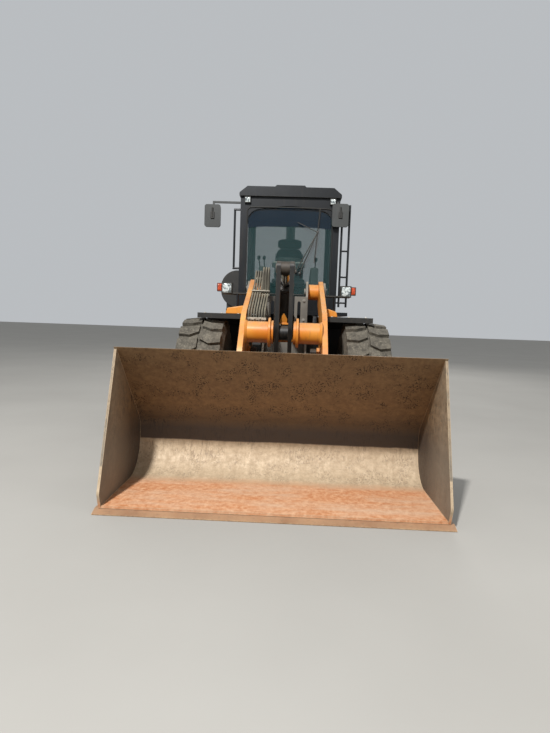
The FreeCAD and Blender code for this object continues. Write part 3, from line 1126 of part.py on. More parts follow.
plate(door_glass, "door_pane", "YZ", "cab_half - cab_wall / 2", "glass_thick", [
    ("door_front + door_frame + seat_gap", "door_low + 2.4 * door_frame + seat_gap", "front_post / 2"),
    ("door_back - door_frame - seat_gap", "door_low + 2.4 * door_frame + seat_gap", "front_post / 2"),
    ("door_back - door_frame - seat_gap", "door_high - door_frame - seat_gap", "front_post / 2"),
    ("door_front + door_frame + seat_gap", "door_high - door_frame - seat_gap", "front_post / 2")])

# Seat on its pedestal, and the steering console with its wheel.
sizes(seat_y=-930, seat_half=260, pedestal_half=170, cushion_low=2010, cushion_high=2120,
      cushion_deep=440, back_thick=110, back_high=2640, head_half=125, head_high=2800,
      wheel_y=-1400, wheel_z=2330, wheel_radius=190, wheel_rim=16, column_half=60, column_y=-1500)
seat = new_body("seat", REAR)
box(seat, "pedestal", "-pedestal_half", "pedestal_half", "seat_y - 340", "seat_y",
    "floor_high", "cushion_low")
plate(seat, "cushion", "YZ", "-seat_half", "2 * seat_half", [
    ("seat_y - cushion_deep", "cushion_low", "back_thick / 3"),
    ("seat_y + back_thick", "cushion_low", "back_thick / 3"),
    ("seat_y + back_thick + 90", "back_high", "back_thick / 3"),
    ("seat_y + 90", "back_high", "back_thick / 3"), ("seat_y", "cushion_high", "back_thick / 3"),
    ("seat_y - cushion_deep", "cushion_high", "back_thick / 3")])
box(seat, "headrest", "-head_half", "head_half", "seat_y + 100", "seat_y + 90 + back_thick",
    "back_high", "head_high")
console = new_body("steering_console", REAR)
plate(console, "column", "YZ", "-column_half", "2 * column_half", [
    ("column_y - 120", "floor_high"), ("column_y + 60", "floor_high"),
    ("wheel_y + 10", "wheel_z - 60"), ("wheel_y - 90", "wheel_z - 60")])
plate(console, "dash", "XY", "wheel_z - 70", "60", [
    ("-240", "wheel_y - 190"), ("240", "wheel_y - 190"), ("150", "wheel_y + 10"), ("-150", "wheel_y + 10")])
disc(console, "wheel_post", "XY", "wheel_z - 15", "75", "0", "wheel_y - 40", "wheel_rim * 2")
disc(console, "wheel_ring", "XY", "wheel_z + 40", "2 * wheel_rim", "0", "wheel_y - 40",
     "wheel_radius", "wheel_radius - 2 * wheel_rim")
box(console, "wheel_spoke", "-wheel_radius + wheel_rim", "wheel_radius - wheel_rim",
    "wheel_y - 55", "wheel_y - 25", "wheel_z + 45", "wheel_z + 65")

# Handrails, mirrors and roof lamps on the cab.
sizes(rail_near_x=730, rail_far_x=832, rail_bar=15, rail_low=1700, rail_high=3110, rung_step=360,
      left_mirror_x=580, left_mirror_z=2790, right_mirror_x=970, right_mirror_z=2760,
      mirror_wide=225, mirror_tall=310, mirror_deep=34, mirror_ahead=70,
      roof_lamp_x=590, roof_lamp_half=42, roof_lamp_z=3135, roof_lamp_deep=34)
handrails = new_body("handrails", REAR)
for word, x in (("near", "rail_near_x"), ("far", "rail_far_x")):
    disc(handrails, word + "_bar", "XY", "rail_low", "rail_high - rail_low", x, "cab_front + 45",
         "rail_bar")
for number in range(4):
    height = "rail_low + 60 + %d * rung_step" % number
    disc(handrails, "rung_%d" % number, "YZ", "cab_half" if number in (0, 3) else "rail_near_x",
         "rail_far_x - cab_half" if number in (0, 3) else "rail_far_x - rail_near_x",
         "cab_front + 45", height, "rail_bar * 0.8")
disc(handrails, "grab_bar", "XY", "rail_low + 500", "rail_high - rail_low - 600", "-rail_near_x - 40",
     "cab_front + 45", "rail_bar")
for word, height in (("low", "rail_low + 500"), ("high", "rail_high - 100")):
    disc(handrails, "grab_end_" + word, "YZ", "-rail_near_x - 40 - rail_bar",
         "rail_near_x + 40 + rail_bar - cab_half", "cab_front + 45", height, "rail_bar")

mirrors = new_body("mirrors", REAR)
# Each row is (side word, inner and outer x, y, bottom and top of the plate).
MIRRORS = [("left", "left_mirror_x", "left_mirror_x + mirror_wide", "cab_front - mirror_ahead",
            "left_mirror_z", "left_mirror_z + mirror_tall"),
           ("right", "-right_mirror_x - mirror_wide", "-right_mirror_x", "cab_front + mirror_deep",
            "right_mirror_z", "right_mirror_z + mirror_tall")]
for word, near, far, y, low, high in MIRRORS:
    plate(mirrors, word + "_mirror", "XZ", y + " - mirror_deep / 2", "mirror_deep", [
        (near, low, "mirror_deep"), (far, low, "mirror_deep"), (far, high, "mirror_deep"),
        (near, high, "mirror_deep")])
box(mirrors, "left_arm", "roof_lamp_x + roof_lamp_half + 8", "roof_lamp_x + roof_lamp_half + 32",
    "cab_front - mirror_ahead - mirror_deep / 2", "cab_front", "left_mirror_z + mirror_tall - 5",
    "left_mirror_z + mirror_tall + 20")
box(mirrors, "right_arm", "-right_mirror_x - mirror_wide / 2", "-cab_half",
    "cab_front + mirror_deep / 2", "cab_front + 3 * mirror_deep / 2",
    "right_mirror_z + mirror_tall + 20", "right_mirror_z + mirror_tall + 45")
box(mirrors, "right_stem", "-right_mirror_x - mirror_wide / 2", "-right_mirror_x - mirror_wide / 2 + 25",
    "cab_front + mirror_deep / 2", "cab_front + 3 * mirror_deep / 2",
    "right_mirror_z + mirror_tall - 5", "right_mirror_z + mirror_tall + 45")

roof_lamps = new_body("roof_lamps", REAR)
pieces = [box(roof_lamps, word + "_lamp", "roof_lamp_x - roof_lamp_half", "roof_lamp_x + roof_lamp_half",
              front, back, "roof_lamp_z - roof_lamp_half", "roof_lamp_z + roof_lamp_half")
          for word, front, back in (("front", "cab_front - roof_lamp_deep", "cab_front"),
                                    ("rear", "cab_back", "cab_back + roof_lamp_deep"))]
mirrored(roof_lamps, pieces)

# Cooling cowl behind the cab, the exhaust stack on it, and the hood that opens over the engine.
sizes(hood_half=520, hood_low=1340, hood_high=2040, cowl_front=-375, cowl_back=140, hood_wall=22,
      hood_round=120, hood_back=1600, hood_tail=1850, hood_knee=620, hood_tail_half=480,
      hood_gap=8, sill_thick=20, stack_x=0, stack_y=-110, stack_radius=78, stack_top=3270,
      grille_frame=70, slat_count=7, slat_step=52, slat_thick=12,
      hinge_x=300, hinge_wide=40, hinge_radius=16, hinge_rod=8, hinge_rise=22)
HINGE_Y = "(cowl_back + hood_gap / 2)"
HINGE_Z = "(hood_high + hinge_rise)"
cowl = new_body("cooling_cowl", REAR)
COWL = [("-hood_half", "rail_top"), ("hood_half", "rail_top"), ("hood_half", "hood_high", "hood_round"),
        ("-hood_half", "hood_high", "hood_round")]
plate(cowl, "cowl_block", "XZ", "cowl_front", "cowl_back - cowl_front", COWL)
opening(cowl, "cowl_room", "XZ", "cowl_front - 5", "cowl_back - cowl_front + 10", [
    ("-hood_half + hood_wall", "rail_top - 5"), ("hood_half - hood_wall", "rail_top - 5"),
    ("hood_half - hood_wall", "hood_high - hood_wall", "hood_round - hood_wall"),
    ("-hood_half + hood_wall", "hood_high - hood_wall", "hood_round - hood_wall")])
pieces = [
    box(cowl, "cowl_foot", "rail_in", "hood_half", "cowl_front", "cowl_back", "rail_top",
        "rail_top + sill_thick"),
    box(cowl, "sill_floor", "rail_in", "hood_half", "cowl_back", "weight_front - side_gap", "rail_top",
        "rail_top + sill_thick"),
    box(cowl, "sill_side", "hood_half - sill_thick", "hood_half", "cowl_back - 5",
        "weight_front - side_gap", "rail_top", "hood_low - side_gap"),
    box(cowl, "hinge_foot", "hinge_x", "hinge_x + hinge_wide", "cowl_back - 3 * hinge_radius",
        HINGE_Y, "hood_high - 5", HINGE_Z),
    disc(cowl, "cowl_knuckle", "YZ", "hinge_x", "hinge_wide", HINGE_Y, HINGE_Z, "hinge_radius"),
    disc(cowl, "hinge_rod", "YZ", "hinge_x", "2 * hinge_wide + side_gap", HINGE_Y, HINGE_Z, "hinge_rod")]
mirrored(cowl, pieces)

stack = new_body("exhaust_stack", REAR)
disc(stack, "stack_pipe", "XY", "hood_high", "stack_top - hood_high", "stack_x", "stack_y",
     "stack_radius", "stack_radius - 6")
disc(stack, "stack_skirt", "XY", "hood_high", "40", "stack_x", "stack_y", "stack_radius + 30",
     "stack_radius - 6")

hood = new_body("hood", REAR)


def hood_section(half, top, wall):
    return [("-(%s) + %s" % (half, wall), "hood_low - 5" if wall != "0" else "hood_low"),
            ("%s - %s" % (half, wall), "hood_low - 5" if wall != "0" else "hood_low"),
            ("%s - %s" % (half, wall), "%s - %s" % (top, wall), "hood_round - " + wall),
            ("-(%s) + %s" % (half, wall), "%s - %s" % (top, wall), "hood_round - " + wall)]


# Each row is (station, half width, top) of one cross-section of the hood.
HOOD = [("cowl_back + hood_gap", "hood_half", "hood_high"),
        ("hood_knee", "hood_half", "hood_high - 10"), ("hood_back", "hood_tail_half", "hood_tail")]
lofted(hood, "hood_skin", [(y, hood_section(half, top, "0")) for y, half, top in HOOD])
ROOM = [(HOOD[0][0] + " - 1",) + HOOD[0][1:], HOOD[1], ("hood_back - hood_wall",) + HOOD[2][1:]]
lofted(hood, "hood_room", [(y, hood_section(half, top, "hood_wall")) for y, half, top in ROOM], True)
opening(hood, "grille_gap", "XZ", "hood_back - hood_wall - 5", "hood_wall + 10", [
    ("-hood_tail_half + grille_frame", "hood_low + grille_frame"),
    ("hood_tail_half - grille_frame", "hood_low + grille_frame"),
    ("hood_tail_half - grille_frame", "hood_tail - grille_frame"),
    ("-hood_tail_half + grille_frame", "hood_tail - grille_frame")])
pieces = [
    box(hood, "knuckle_foot", "hinge_x + hinge_wide + side_gap", "hinge_x + 2 * hinge_wide + side_gap",
        HINGE_Y, "cowl_back + hood_gap + 3 * hinge_radius", "hood_high - hood_wall / 2", HINGE_Z),
    disc(hood, "hood_knuckle", "YZ", "hinge_x + hinge_wide + side_gap", "hinge_wide", HINGE_Y, HINGE_Z,
         "hinge_radius"),
    bore(hood, "knuckle_bore", "YZ", "hinge_x + hinge_wide", "hinge_wide + 2 * side_gap", HINGE_Y,
         HINGE_Z, "hinge_rod + pin_gap")]
mirrored(hood, pieces)

grille = new_body("hood_grille", REAR)
bar = box(grille, "grille_bar", "hood_tail_half - grille_frame - 24",
          "hood_tail_half - grille_frame - seat_gap", "hood_back - hood_wall", "hood_back",
          "hood_low + grille_frame + seat_gap", "hood_tail - grille_frame - seat_gap")
mirrored(grille, [bar])
slat = box(grille, "slat", "-hood_tail_half + grille_frame + seat_gap",
           "hood_tail_half - grille_frame - seat_gap", "hood_back - hood_wall", "hood_back",
           "hood_low + grille_frame + seat_gap", "hood_low + grille_frame + seat_gap + slat_thick")
repeated(grille, [slat], "Z", "slat_step", "slat_count")

# Everything is worked out, checked and written, one file for each labelled sub-part.
doc.recompute()
for item in doc.Objects:
    if "Invalid" in item.State or "Error" in item.State:
        raise ValueError("%s failed: %s" % (item.Label, item.State))
inside = {part.Name for item in doc.Objects if item.TypeId == "Part::Compound" for part in item.Links}
os.makedirs("parts", exist_ok=True)
for item in doc.Objects:
    if item.TypeId in ("PartDesign::Body", "Part::Compound", "Part::Feature") and item.Name not in inside:
        if item.Shape.isNull() or not item.Shape.isValid():
            raise ValueError(item.Label + " has no valid shape")
        item.Shape.exportStep("parts/%s.step" % item.Label)
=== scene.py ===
import math
import random

import bmesh
import bpy
from mathutils import Matrix, Vector


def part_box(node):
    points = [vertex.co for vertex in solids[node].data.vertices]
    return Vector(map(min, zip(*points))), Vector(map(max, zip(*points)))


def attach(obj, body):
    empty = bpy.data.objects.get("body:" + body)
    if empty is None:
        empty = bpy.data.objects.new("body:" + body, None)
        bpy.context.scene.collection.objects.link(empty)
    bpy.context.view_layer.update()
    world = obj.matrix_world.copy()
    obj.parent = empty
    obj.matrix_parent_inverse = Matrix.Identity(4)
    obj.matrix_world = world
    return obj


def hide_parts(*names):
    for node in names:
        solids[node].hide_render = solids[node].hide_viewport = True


# Wheel loader seen from in front of its bucket. Every length is in metres, X to the machine's
# left, Y to its rear and Z up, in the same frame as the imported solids.
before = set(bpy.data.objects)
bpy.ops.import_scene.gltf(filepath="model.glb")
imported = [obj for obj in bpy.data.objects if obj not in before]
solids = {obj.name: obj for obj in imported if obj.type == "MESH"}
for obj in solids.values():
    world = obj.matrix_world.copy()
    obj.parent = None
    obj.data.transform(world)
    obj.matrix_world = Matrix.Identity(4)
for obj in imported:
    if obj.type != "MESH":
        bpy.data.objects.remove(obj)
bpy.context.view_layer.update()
scene = bpy.context.scene

# Camera: held at eye height of a crouched person, two paces in front of the bucket, and tipped
# down by five degrees. Lens and tilt come from the photograph's 550 x 733 frame.
lens = bpy.data.cameras.new("camera")
lens.sensor_fit = "VERTICAL"
lens.sensor_height = 36
lens.lens = 25.095
camera = bpy.data.objects.new("camera", lens)
camera.matrix_world = (Matrix.Translation((0.096, -7.334, 1.492))
                       @ Matrix.Rotation(math.radians(1.815), 4, "Z")
                       @ Matrix.Rotation(math.radians(84.781), 4, "X")
                       @ Matrix.Rotation(math.radians(1.989), 4, "Z"))
scene.collection.objects.link(camera)
scene.camera = camera


# Floor: pale screed, swept clean, with the faint clouding that a trowel leaves, nearly 2 m
# across. Smooth cement is matt and a little uneven in tone.
def linear(code):
    """Turns an sRGB hex code into the linear colour that a shader takes."""
    shares = [int(code[at:at + 2], 16) / 255 for at in (0, 2, 4)]
    return [s / 12.92 if s <= 0.04045 else ((s + 0.055) / 1.055) ** 2.4 for s in shares] + [1.0]


def add(material, kind, inputs=None, **settings):
    """Adds one node to a material. An input is a value, an sRGB hex code, a socket, or a node
    whose first output feeds it."""
    tree = material.node_tree
    node = tree.nodes.new("ShaderNode" + kind)
    for name, value in settings.items():
        setattr(node, name, value)
    for name, value in (inputs or {}).items():
        if isinstance(value, str):
            value = linear(value)
        if isinstance(value, bpy.types.Node):
            value = value.outputs[0]
        if isinstance(value, bpy.types.NodeSocket):
            tree.links.new(value, node.inputs[name])
        else:
            node.inputs[name].default_value = value
    return node


def bare(name):
    """Makes a material with no nodes in it yet."""
    material = bpy.data.materials.new(name)
    material.use_nodes = True
    material.node_tree.nodes.clear()
    return material


screed = bare("trowelled_cement_screed")
spot = add(screed, "TexCoord").outputs["Object"]
cloud = add(screed, "TexNoise", {"Vector": spot, "Scale": 0.6, "Detail": 5})
tone = add(screed, "MixRGB", {"Fac": cloud, "Color1": "98958f", "Color2": "a5a29c"})
shade = add(screed, "BsdfPrincipled", {
    "Base Color": tone, "Roughness": 0.85, "Specular IOR Level": 0.2})
add(screed, "OutputMaterial", {"Surface": shade})
floor_mesh = bmesh.new()
bmesh.ops.create_grid(floor_mesh, x_segments=2, y_segments=2, size=60)
floor_data = bpy.data.meshes.new("floor")
floor_mesh.to_mesh(floor_data)
floor_mesh.free()
floor = bpy.data.objects.new("floor", floor_data)
floor.location = (0, 0, -0.002)
floor_data.materials.append(screed)
scene.collection.objects.link(floor)

# Light: an even pale room, a key from high behind the camera and a little to its left, and two
# weak soft ones. The key throws the bucket's top lip onto its back wall, as high sun does.
room = bpy.data.worlds.new("room")
room.use_nodes = True
room.node_tree.nodes["Background"].inputs["Color"].default_value = linear("e6eaee")
room.node_tree.nodes["Background"].inputs["Strength"].default_value = 0.62
scene.world = room
scene.view_settings.view_transform = "Standard"
for name, place, aim, size, power in (
        ("key", (-2.95, -10.36, 10.8), (0, -1.5, 0.6), 0.6, 2300),
        ("fill", (7.5, -6.5, 4.5), (0, -1, 1.0), 4.0, 60),
        ("rear", (3.0, 9.5, 7.5), (0, 1.5, 1.2), 4.0, 420)):
    lamp = bpy.data.lights.new(name, "AREA")
    lamp.size = size
    lamp.energy = power
    holder = bpy.data.objects.new(name, lamp)
    holder.location = place
    holder.rotation_euler = (Vector(aim) - Vector(place)).to_track_quat("-Z", "Y").to_euler()
    scene.collection.objects.link(holder)


# Front frame, rear frame and axles: welded steel plate and castings in grey chassis enamel. Oil
# and road dust stick to them, so they read as a dusty warm grey, darker where grease has run.
def rubbed_edge(material, width, flat, turned, most=1.0):
    """Finds where a surface turns a corner within the width: most there, and 0 on the flat."""
    softened = add(material, "Bevel", {"Radius": width}, samples=4)
    true_face = add(material, "NewGeometry")
    turn = add(material, "VectorMath", {0: softened, 1: true_face.outputs["Normal"]},
               operation="DOT_PRODUCT")
    return add(material, "MapRange", {
        "Value": turn.outputs["Value"], "From Min": flat, "From Max": turned, "To Max": most})


def enamel(name, colour, faded, dust="a3927a", gloss=0.5, dusty=0.5, chipped=0.6, metal="5b4a3c",
           grime=0.35):
    """Sprayed machinery enamel: even and half glossy when new, now blotched, dusty on every
    upward face and worn through along its edges."""
    material = bare(name)
    place = add(material, "TexCoord")
    spot = place.outputs["Object"]
    # Bleached patches about half a metre across.
    patch = add(material, "TexNoise", {
        "Vector": spot, "Scale": 2.2, "Detail": 5, "Roughness": 0.6})
    faded_here = add(material, "MapRange", {"Value": patch, "From Min": 0.38, "From Max": 0.66})
    coat = add(material, "MixRGB", {"Fac": faded_here, "Color1": colour, "Color2": faded})
    # Rain streaks 30 mm wide and half a metre long.
    drawn = add(material, "Mapping", {"Vector": spot, "Scale": (34, 34, 2.4)})
    streak = add(material, "TexNoise", {"Vector": drawn, "Scale": 1, "Detail": 3})
    streaked = add(material, "MapRange", {
        "Value": streak, "From Min": 0.55, "From Max": 0.8, "To Max": grime})
    run = add(material, "MixRGB", {"Fac": streaked, "Color1": coat, "Color2": "4a4138"})
    # Road dust lies where a face looks up, in drifts about 60 mm across.
    up = add(material, "SeparateXYZ", {"Vector": place.outputs["Normal"]}).outputs["Z"]
    lie = add(material, "MapRange", {
        "Value": up, "From Min": 0.15, "From Max": 0.95, "To Min": 0.1 * dusty, "To Max": dusty})
    drift = add(material, "TexNoise", {"Vector": spot, "Scale": 16, "Detail": 6, "Roughness": 0.7})
    thick = add(material, "MapRange", {
        "Value": drift, "From Min": 0.3, "From Max": 0.7, "To Min": 0.4, "To Max": 1.3})
    film = add(material, "Math", {0: lie, 1: thick}, operation="MULTIPLY", use_clamp=True)
    powder = add(material, "MixRGB", {"Fac": film, "Color1": run, "Color2": dust})
    # Chips along an edge: the turned edge is 6 mm wide, broken up by 12 mm grit marks.
    edge = rubbed_edge(material, 0.006, 0.99, 0.84)
    grit = add(material, "TexNoise", {"Vector": spot, "Scale": 80, "Detail": 4, "Roughness": 0.75})
    mark = add(material, "MapRange", {"Value": grit, "From Min": 0.42, "From Max": 0.56})
    chip = add(material, "Math", {0: edge, 1: mark}, operation="MULTIPLY", use_clamp=True)
    worn = add(material, "Math", {0: chip, 1: chipped}, operation="MULTIPLY")
    colour_out = add(material, "MixRGB", {"Fac": worn, "Color1": powder, "Color2": metal})
    rough = add(material, "MapRange", {"Value": film, "To Min": gloss, "To Max": 0.92})
    # Orange peel of a thick spray coat, drawn at 5 mm so that it shows at all.
    peel = add(material, "TexNoise", {"Vector": spot, "Scale": 210, "Detail": 2})
    skin = add(material, "Bump", {"Height": peel, "Strength": 0.12, "Distance": 0.002})
    flake = add(material, "Bump", {
        "Height": worn, "Normal": skin, "Strength": 0.35, "Distance": 0.002}, invert=True)
    shader = add(material, "BsdfPrincipled", {
        "Base Color": colour_out, "Roughness": rough, "Normal": flake, "Specular IOR Level": 0.4,
        "Coat Weight": 0.06, "Coat Roughness": 0.25})
    add(material, "OutputMaterial", {"Surface": shader})
    return material


def coat_solids(material, *names):
    """Gives carried-over solids their finish."""
    for name in names:
        data = solids[name].data
        if not data.materials:
            data.materials.append(material)
        for number in range(len(data.materials)):
            data.materials[number] = material


chassis_enamel = enamel("grey_chassis_enamel", "5d5a54", "77736a", dust="9b8f7c", dusty=0.6,
                        chipped=0.7, grime=0.5)
coat_solids(chassis_enamel, "front_frame", "rear_frame", "front_axle", "rear_axle")

# Pins of the hinge, the bucket and the linkage: hardened, ground bar. It has a brushed look under
# a bloom of brown rust and dry grease.
# Its rust lies in blooms about 20 mm across.
pin_steel = bare("ground_pin_steel")
spot = add(pin_steel, "TexCoord").outputs["Object"]
rust = add(pin_steel, "TexNoise", {"Vector": spot, "Scale": 45, "Detail": 6, "Roughness": 0.7})
share = add(pin_steel, "MapRange", {"Value": rust, "From Min": 0.45, "From Max": 0.7})
tone = add(pin_steel, "MixRGB", {"Fac": share, "Color1": "9b978d", "Color2": "5c4a3a"})
dull = add(pin_steel, "MapRange", {"Value": share, "To Min": 0.3, "To Max": 0.8})
matt = add(pin_steel, "MapRange", {"Value": share, "To Min": 0.9, "To Max": 0.15})
# Turning marks, drawn 3 mm apart.
turning = add(pin_steel, "TexNoise", {"Vector": spot, "Scale": 330, "Detail": 2})
groove = add(pin_steel, "Bump", {"Height": turning, "Strength": 0.15, "Distance": 0.001})
shade = add(pin_steel, "BsdfPrincipled", {
    "Base Color": tone, "Roughness": dull, "Metallic": matt, "Normal": groove})
add(pin_steel, "OutputMaterial", {"Surface": shade})
coat_solids(pin_steel, "bucket_pins", "crank_pin", "foot_pin", "hinge_pins")

# Engine: one iron block on the rear frame, cast in sand. Old oil makes it dark and half glossy.
engine_iron = enamel("oily_cast_engine_iron", "54524e", "6a6258", dust="7d6f5a", chipped=0.2,
                     grime=0.7)
coat_solids(engine_iron, "engine_block")

# Counterweight: one grey iron casting, left coarse by the sand mould and matt under its paint. It
# is held down by four large bolts.
cast_iron = enamel("sand_cast_counterweight_iron", "3b3b3c", "4c4b49", dust="8a8070", gloss=0.6,
                   chipped=0.5, grime=0.5)
coat_solids(cast_iron, "counterweight")
COUNTERWEIGHT_TOP = 1.33


def settle(name, mesh, material, body, soften=0.0):
    """Makes an object from a finished mesh, with softened edges, and seats it on its body."""
    data = bpy.data.meshes.new(name)
    mesh.normal_update()
    mesh.to_mesh(data)
    mesh.free()
    data.materials.append(material)
    made = bpy.data.objects.new(name, data)
    scene.collection.objects.link(made)
    data.shade_smooth()
    data.set_sharp_from_angle(angle=math.radians(35))
    if soften:
        rounded = made.modifiers.new("soften", "BEVEL")
        rounded.width = soften
        rounded.segments = 2
        rounded.limit_method = "ANGLE"
    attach(made, body)
    return made


def turned_bar(mesh, start, end, radius, sides=32, tip=None):
    """Adds a closed round bar between two points, tapered where a tip radius is given."""
    start, end = Vector(start), Vector(end)
    turn = (end - start).to_track_quat("Z", "Y").to_matrix().to_4x4()
    bmesh.ops.create_cone(mesh, cap_ends=True, segments=sides, radius1=radius,
                          radius2=radius if tip is None else tip, depth=(end - start).length,
                          matrix=Matrix.Translation((start + end) / 2) @ turn)


def bolt(mesh, place, axis, across=0.03):
    """Adds a hexagon head on its washer, standing on the face at place."""
    place, axis = Vector(place), Vector(axis).normalized()
    turned_bar(mesh, place, place + axis * across * 0.12, across * 0.85, 20)
    turned_bar(mesh, place + axis * across * 0.12, place + axis * across * 0.62, across * 0.577, 6,
               across * 0.54)


def bolt_ring(mesh, side, out, centre, reach, count, first, across):
    """Sets bolts in a circle round (y, z), on a face that looks to one side."""
    for number in range(count):
        angle = math.radians(first + 360 / count * number)
        bolt(mesh, (side * out, centre[0] + reach * math.cos(angle),
                    centre[1] + reach * math.sin(angle)), (side, 0, 0), across)


# The bolts are zinc-plated: bright when fitted, now dull grey with dust round their washers.
zinc = enamel("zinc_plated_bolt_steel", "8e8b84", "6f6a62", gloss=0.42, dusty=0.4, chipped=0.2)
big_bolts = bmesh.new()
for x in (-0.85, -0.42, 0.42, 0.85):
    bolt(big_bolts, (x, 3.20, COUNTERWEIGHT_TOP), (0, 0, 1), 0.046)
settle("counterweight_bolts", big_bolts, zinc, "rear_frame", 0.0015)

# Front tower: bolts hold the plate that covers the valves, and a turned cap with four bolts
# keeps each boom and lift cylinder pin in its plate. Left is +X.
SIDES = ((1, "left"), (-1, "right"))
BOOM_PIVOT = (-0.665, 1.86)
LIFT_BASE = (-0.315, 0.90)
TOWER_FACE = 0.493


def lathe(mesh, centre, axis, profile, sides=48):
    """Turns a closed outline of (radius, height) points about an axis."""
    frame_of_axis = Vector(axis).to_track_quat("Z", "Y").to_matrix()
    rings = []
    for number in range(sides):
        angle = 2 * math.pi * number / sides
        rings.append([mesh.verts.new(Vector(centre) + frame_of_axis @ Vector(
            (radius * math.cos(angle), radius * math.sin(angle), height)))
            for radius, height in profile])
    for number in range(sides):
        here, there = rings[number], rings[(number + 1) % sides]
        for at in range(len(profile)):
            after = (at + 1) % len(profile)
            mesh.faces.new((here[at], there[at], there[after], here[after]))


tower = bmesh.new()
for x in (-0.225, 0.225):
    for z in (1.08, 1.36, 1.50, 1.74):
        bolt(tower, (x, -0.925, z), (0, -1, 0), 0.026)
settle("tower_plate_bolts", tower, zinc, "front_frame", 0.0008)
for side, word in SIDES:
    caps = bmesh.new()
    for pin, radius in ((BOOM_PIVOT, 0.085), (LIFT_BASE, 0.065)):
        lathe(caps, (side * TOWER_FACE, *pin), (side, 0, 0),
              [(0.001, 0), (radius, 0), (radius, 0.007), (radius * 0.88, 0.012), (0.001, 0.012)])
        bolt_ring(caps, side, TOWER_FACE + 0.012, pin, radius * 0.62, 4, 45, 0.020)
    settle("tower_pin_caps_" + word, caps, zinc, "front_frame", 0.001)

# Tyres: bias earthmover tyres with deep blocky lugs. The rubber is black inside the grooves and
# khaki with dried mud on the lugs and down the walls.
# Mud cakes about 110 mm across, with pale crumbs of 25 mm on them.
tyre_rubber = bare("muddy_earthmover_tyre_rubber")
place = add(tyre_rubber, "TexCoord")
spot = place.outputs["Object"]
mud = add(tyre_rubber, "TexNoise", {"Vector": spot, "Scale": 9, "Detail": 9, "Roughness": 0.75})
caked = add(tyre_rubber, "MapRange", {
    "Value": mud, "From Min": 0.36, "From Max": 0.62, "To Min": 0.25, "To Max": 0.95})
tone = add(tyre_rubber, "MixRGB", {"Fac": caked, "Color1": "2a2825", "Color2": "6a6459"})
pale = add(tyre_rubber, "TexNoise", {"Vector": spot, "Scale": 38, "Detail": 6, "Roughness": 0.8})
crumb = add(tyre_rubber, "MapRange", {
    "Value": pale, "From Min": 0.5, "From Max": 0.72, "To Max": 0.7})
dusty = add(tyre_rubber, "MixRGB", {"Fac": crumb, "Color1": tone, "Color2": "958d7c"})
cut = add(tyre_rubber, "Bump", {"Height": mud, "Strength": 0.7, "Distance": 0.02})
grain = add(tyre_rubber, "Bump", {
    "Height": pale, "Strength": 0.5, "Distance": 0.004, "Normal": cut})
shade = add(tyre_rubber, "BsdfPrincipled", {
    "Base Color": dusty, "Roughness": 0.9, "Specular IOR Level": 0.3, "Normal": grain})
add(tyre_rubber, "OutputMaterial", {"Surface": shade})

# Rims and hubs: pressed steel rims in grey enamel that mud has scoured, each with a turned hub
# cover that eight bolts hold.
rim_enamel = enamel("grey_rim_enamel", "6d6b66", "85827b", dust="9c907a", grime=0.6)
AXLE_HEIGHT = 0.745
HUB_BOLT_CIRCLE = 0.127 * 0.92
for end, y in (("front", -1.065), ("rear", 1.835)):
    for side, word in SIDES:
        wheel = "%s_%s" % (end, word)
        coat_solids(tyre_rubber, "tyre_" + wheel)
        coat_solids(rim_enamel, "rim_" + wheel)
        low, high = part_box("rim_" + wheel)
        face = max(abs(low.x), abs(high.x))
        hub = bmesh.new()
        lathe(hub, (side * face, y, AXLE_HEIGHT), (side, 0, 0),
              [(0.001, -0.004), (0.135, -0.004), (0.135, 0.002), (0.120, 0.006), (0.060, 0.008),
               (0.055, 0.012), (0.001, 0.012)], 40)
        bolt_ring(hub, side, face + 0.003, (y, AXLE_HEIGHT), HUB_BOLT_CIRCLE, 8, 0, 0.018)
        settle("hub_cover_" + wheel, hub, zinc, "wheel_" + wheel)

# Fenders and oil tank: thick black moulded plastic, riveted along each fender's crown. The sun
# has greyed it and dust lies on top.
black_plastic = enamel("moulded_black_fender_plastic", "121314", "1e1e1e", dust="8f8776",
                       gloss=0.45, dusty=0.55, chipped=0.15, metal="4b4b49", grime=0.2)
coat_solids(black_plastic, "front_fenders", "rear_fenders", "oil_tank")
FENDER_TOP = 1.548
# The rivets, and the hose fittings below, are plated steel: pale, half metallic and stained in
# spots of about 17 mm.
fitting = bare("plated_hose_fitting_steel")
spot = add(fitting, "TexCoord").outputs["Object"]
dirt = add(fitting, "TexNoise", {"Vector": spot, "Scale": 60, "Detail": 5})
tone = add(fitting, "MixRGB", {"Fac": dirt, "Color1": "d8d2c2", "Color2": "85796a"})
shade = add(fitting, "BsdfPrincipled", {"Base Color": tone, "Metallic": 0.6, "Roughness": 0.5})
add(fitting, "OutputMaterial", {"Surface": shade})
for side, word in SIDES:
    rivets = bmesh.new()
    for x in (0.56, 0.76, 0.96):
        lathe(rivets, (side * x, -1.20, FENDER_TOP), (0, 0, 1),
              [(0.001, -0.001), (0.015, -0.001), (0.013, 0.005), (0.006, 0.008), (0.001, 0.008)],
              20)
    settle("front_fender_rivets_" + word, rivets, fitting, "front_frame")

# Painted shade: black sheets hung under each fender's inner edge behind the front wheels, put
# where the space between the arms and the tyres lies in shade. Each hangs with a slight wave.
SHADE_SHEET_TOP = 1.535
SHADE_SHEET_DROP = 0.80
SHADE_SHEET_INNER = 0.497


def sheet(mesh, rows, columns, place):
    """Adds a grid of faces, whose corners place(row, column) sets in space."""
    grid = [[mesh.verts.new(place(row, column)) for column in range(columns + 1)]
            for row in range(rows + 1)]
    for row in range(rows):
        for column in range(columns):
            mesh.faces.new((grid[row][column], grid[row][column + 1], grid[row + 1][column + 1],
                            grid[row + 1][column]))


